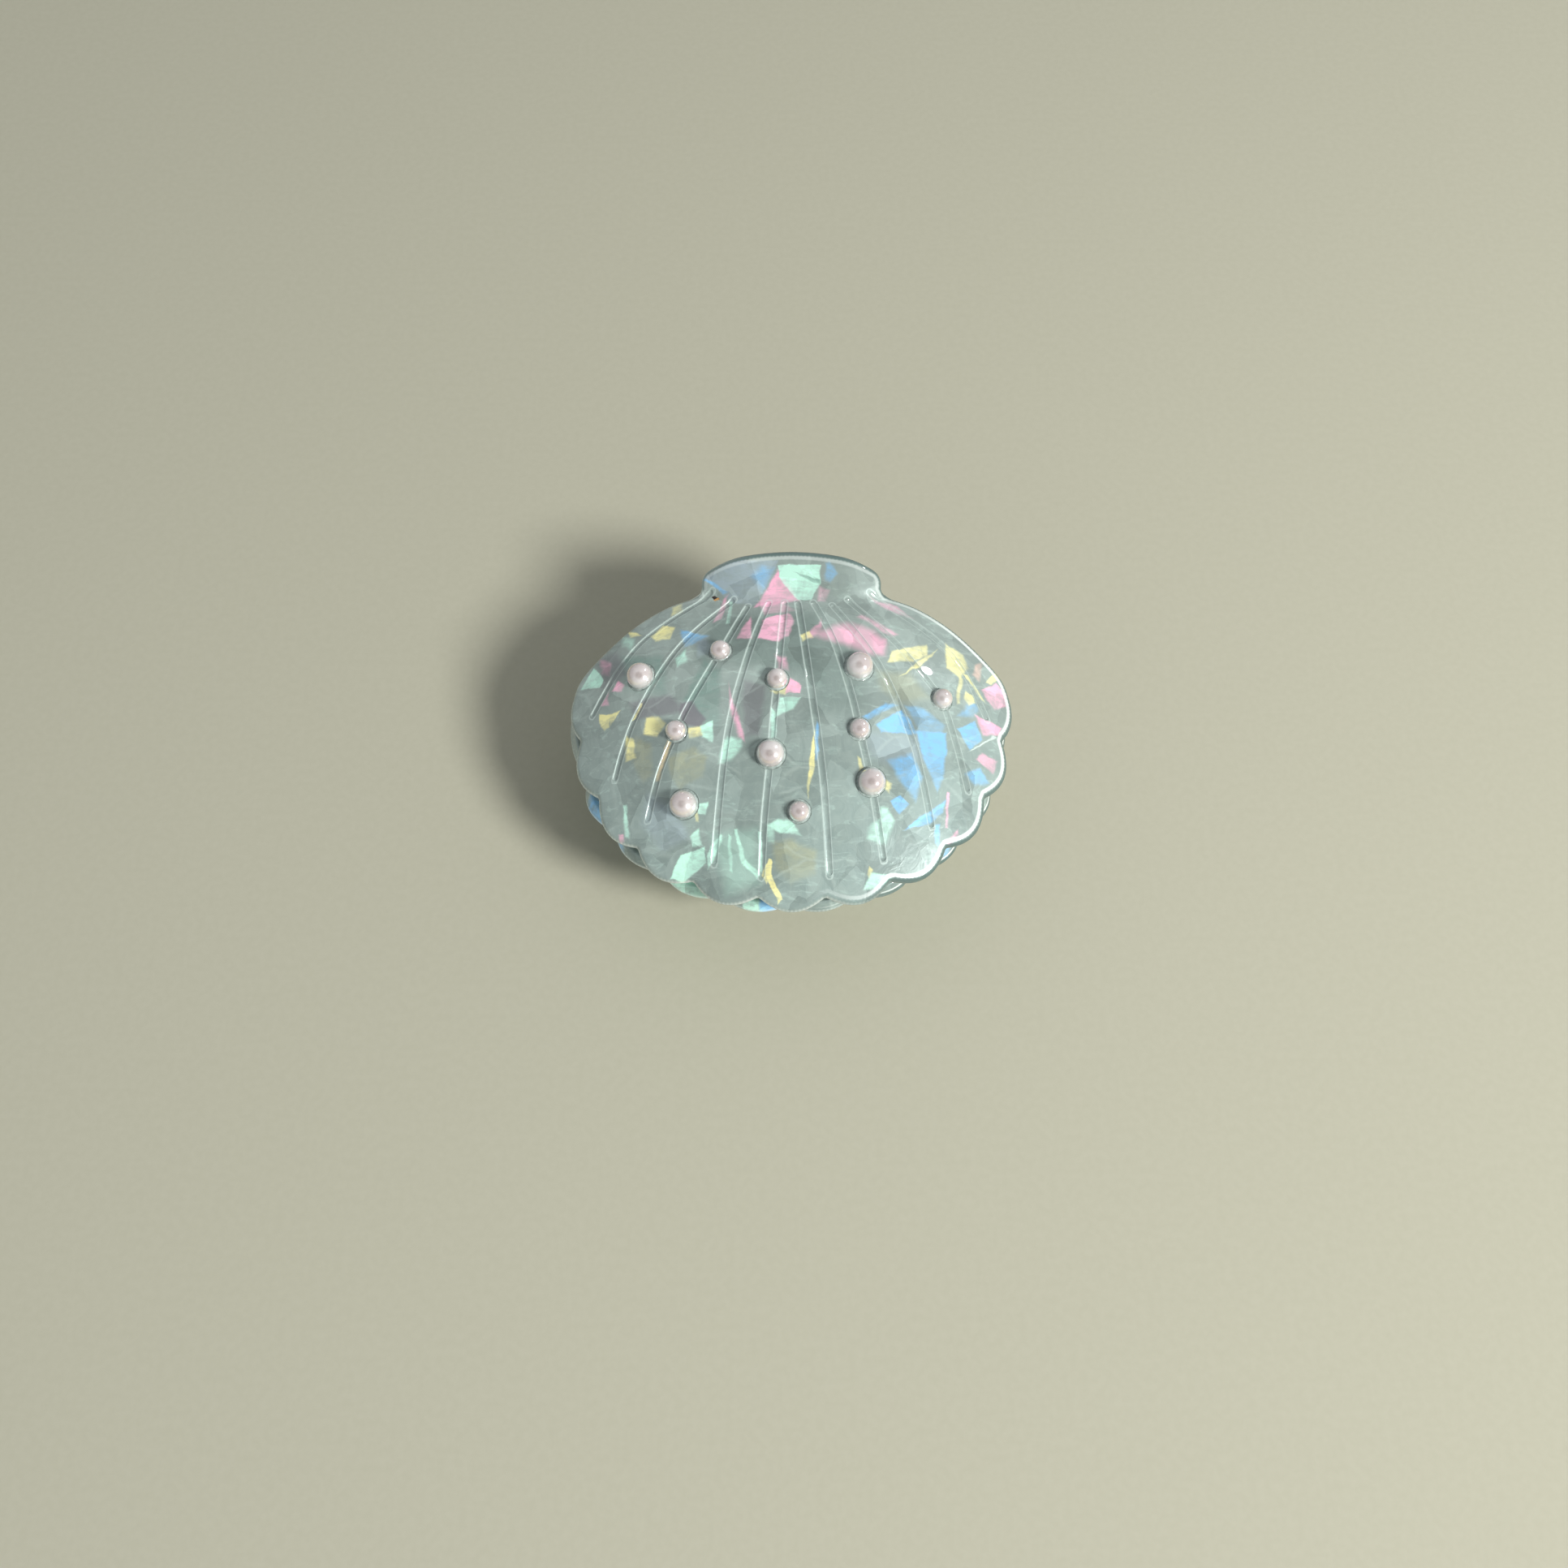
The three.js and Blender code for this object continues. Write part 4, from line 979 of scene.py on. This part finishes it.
def make_metal(name, light, dark, brushed):
    """Plated steel: fine rolling lines along X, small scuffs and a warmer tone where the plating is thin."""
    paint = Surface(name)
    lines = paint.noise(paint.stretch(paint.where, 0.05, 1, 1), brushed, 3.0, 0.6)
    scuff = paint.noise(paint.where, 700, 4.0, 0.65)
    rough = paint.ramp(scuff, 0.5, 0.8, 0, 0.12)
    paint.set(
        Base_Color=paint.mix(paint.ramp(scuff, 0.4, 0.75), light, dark),
        Metallic=1.0,
        Roughness=paint.math("ADD", paint.ramp(lines, 0.3, 0.7, 0.18, 0.3), rough),
        Normal=paint.bump(lines, 0.12, 0.00004),
    )
    return paint.material


def nearest_distance(points, line):
    nearest = np.full(len(points), 1e9)
    for spot in line:
        nearest = np.minimum(nearest, ((points - spot) ** 2).sum(axis=1))
    return np.sqrt(nearest)


def mark_distances(shell, jaw):
    """Stores how far each point is from the outer edge and the nearest groove, in mm, for the paint."""
    mesh = shell.data
    points = np.empty(len(mesh.vertices) * 3)
    mesh.vertices.foreach_get("co", points)
    points = (points.reshape(-1, 3) - jaw.origin) / MM * [1, 1, jaw.side]
    x, y, z = points.T
    depth = (jaw.height(x, y) - z) * jaw.normal(x, y)[:, 2]
    # the inner face counts as far from the edge, so that the rim's painted highlight and shade stay off it
    edge = nearest_distance(points[:, :2], jaw.outline()[::2]) + 2 * smoothstep(depth, 1.1, 1.9)
    grooves = np.vstack([evenly(through(groove), step=0.3) for groove in GROOVES])
    grooves = jaw.across(grooves[:, 0], grooves[:, 1], 0.0)
    for name, value in (("edge", edge), ("groove", nearest_distance(points, grooves))):
        mesh.attributes.new(name, "FLOAT", "POINT").data.foreach_set("value", np.minimum(value, 5))


def wear(objects, material):
    for obj in objects:
        obj.data.materials.clear()
        obj.data.materials.append(material)


def make_clip():
    pearl, glue, flake = make_pearl_paint(), make_glue_paint(), make_flake_group()
    plated = make_metal("pale_gold_plate", rgb(226, 208, 176), rgb(196, 168, 128), 9000)
    wire = make_metal("spring_wire", rgb(214, 216, 218), rgb(170, 172, 176), 12000)
    for jaw, lug_x, flakes in ((front, INNER_LUG_X, FLAKES), (back, OUTER_LUG_X, BACK_FLAKES)):
        shell = make_shell(jaw)
        mark_distances(shell, jaw)
        wear([shell], make_acetate(jaw, flake, flakes))
        wear(make_pearls(jaw), pearl)
        wear([make_glue(jaw)], glue)
        wear([make_leaf(jaw, lug_x)], plated)
    wear([make_pin(), make_spring()], wire)


make_clip()

# ---- camera, floor and light

CAMERA_ELEVATION = math.radians(65.4)
CAMERA_DISTANCE = 0.2368
LAMP_DISTANCE = 1.0
DARK_CEILING = (-0.1, -0.4, 0.9)
ROOM_LIGHT = 0.5
FLOOR_HALF = 1.5
AIM_OFFSET = (0.0011, 0.01146)  # the clip's centre lies this far right of and above the view's centre


def make_camera():
    right = Vector((1, 0, 0))
    up = Vector((0, math.sin(CAMERA_ELEVATION), math.cos(CAMERA_ELEVATION)))
    back_off = right.cross(up)
    data = bpy.data.cameras.new("camera")
    data.sensor_width = data.lens = 36
    data.clip_start, data.clip_end = 0.01, 10
    camera = put_in_scene("camera", data)
    aim = Vector(front.origin) - right * AIM_OFFSET[0] - up * AIM_OFFSET[1]
    camera.location = aim + back_off * CAMERA_DISTANCE
    camera.rotation_euler = (math.pi / 2 - CAMERA_ELEVATION, 0, 0)
    bpy.context.scene.camera = camera


def add_lamp(name, direction, size, energy, colour=(1, 1, 1), matt=True, gloss=True):
    data = bpy.data.lights.new(name, "AREA")
    data.shape, data.size, data.energy, data.color = "DISK", size, energy, colour
    lamp = put_in_scene(name, data)
    direction = Vector(direction).normalized()
    lamp.location = Vector(front.origin) + direction * LAMP_DISTANCE
    lamp.rotation_euler = direction.to_track_quat("Z", "Y").to_euler()
    lamp.visible_diffuse, lamp.visible_glossy = matt, gloss


def make_light():
    add_lamp("key", (0.66, -0.42, 0.62), 0.26, 10.5, (1.0, 0.98, 0.94), gloss=False)
    add_lamp("sparkle", (0.70, -0.52, 0.48), 0.18, 13.0, matt=False)
    add_lamp("edge", (0.64, 0.51, 0.55), 0.05, 1.2, matt=False)
    world = bpy.data.worlds.new("room")
    bpy.context.scene.world = world
    world.use_nodes = True
    paint = Paint(world.node_tree)
    where = paint.node("TexCoord", {})["Generated"]
    near = paint.vector("DOT_PRODUCT", where, tuple(Vector(DARK_CEILING).normalized()), 1)
    background = world.node_tree.nodes["Background"]
    tint = paint.mix(paint.ramp(near, 0.75, 0.97), (0.95, 0.98, 1.0, 1), (0.16, 0.13, 0.12, 1))
    paint.feed(tint, background.inputs["Color"])
    background.inputs["Strength"].default_value = ROOM_LIGHT


def make_floor():
    corners = [(x * FLOOR_HALF, y * FLOOR_HALF, 0) for x, y in ((-1, -1), (1, -1), (1, 1), (-1, 1))]
    floor = new_object("floor", corners, [(0, 1, 2, 3)])
    paint = Surface("floor")
    grain = paint.noise(paint.where, 900, 3.0)
    paint.set(
        Base_Color=paint.mix(paint.ramp(grain, 0.2, 0.8), (0.49, 0.485, 0.385, 1), (0.51, 0.505, 0.405, 1)),
        Roughness=1.0,
        Specular_IOR_Level=0.0,
    )
    floor.data.materials.append(paint.material)


bpy.context.scene.view_settings.view_transform = "Standard"
make_camera()
make_light()
make_floor()
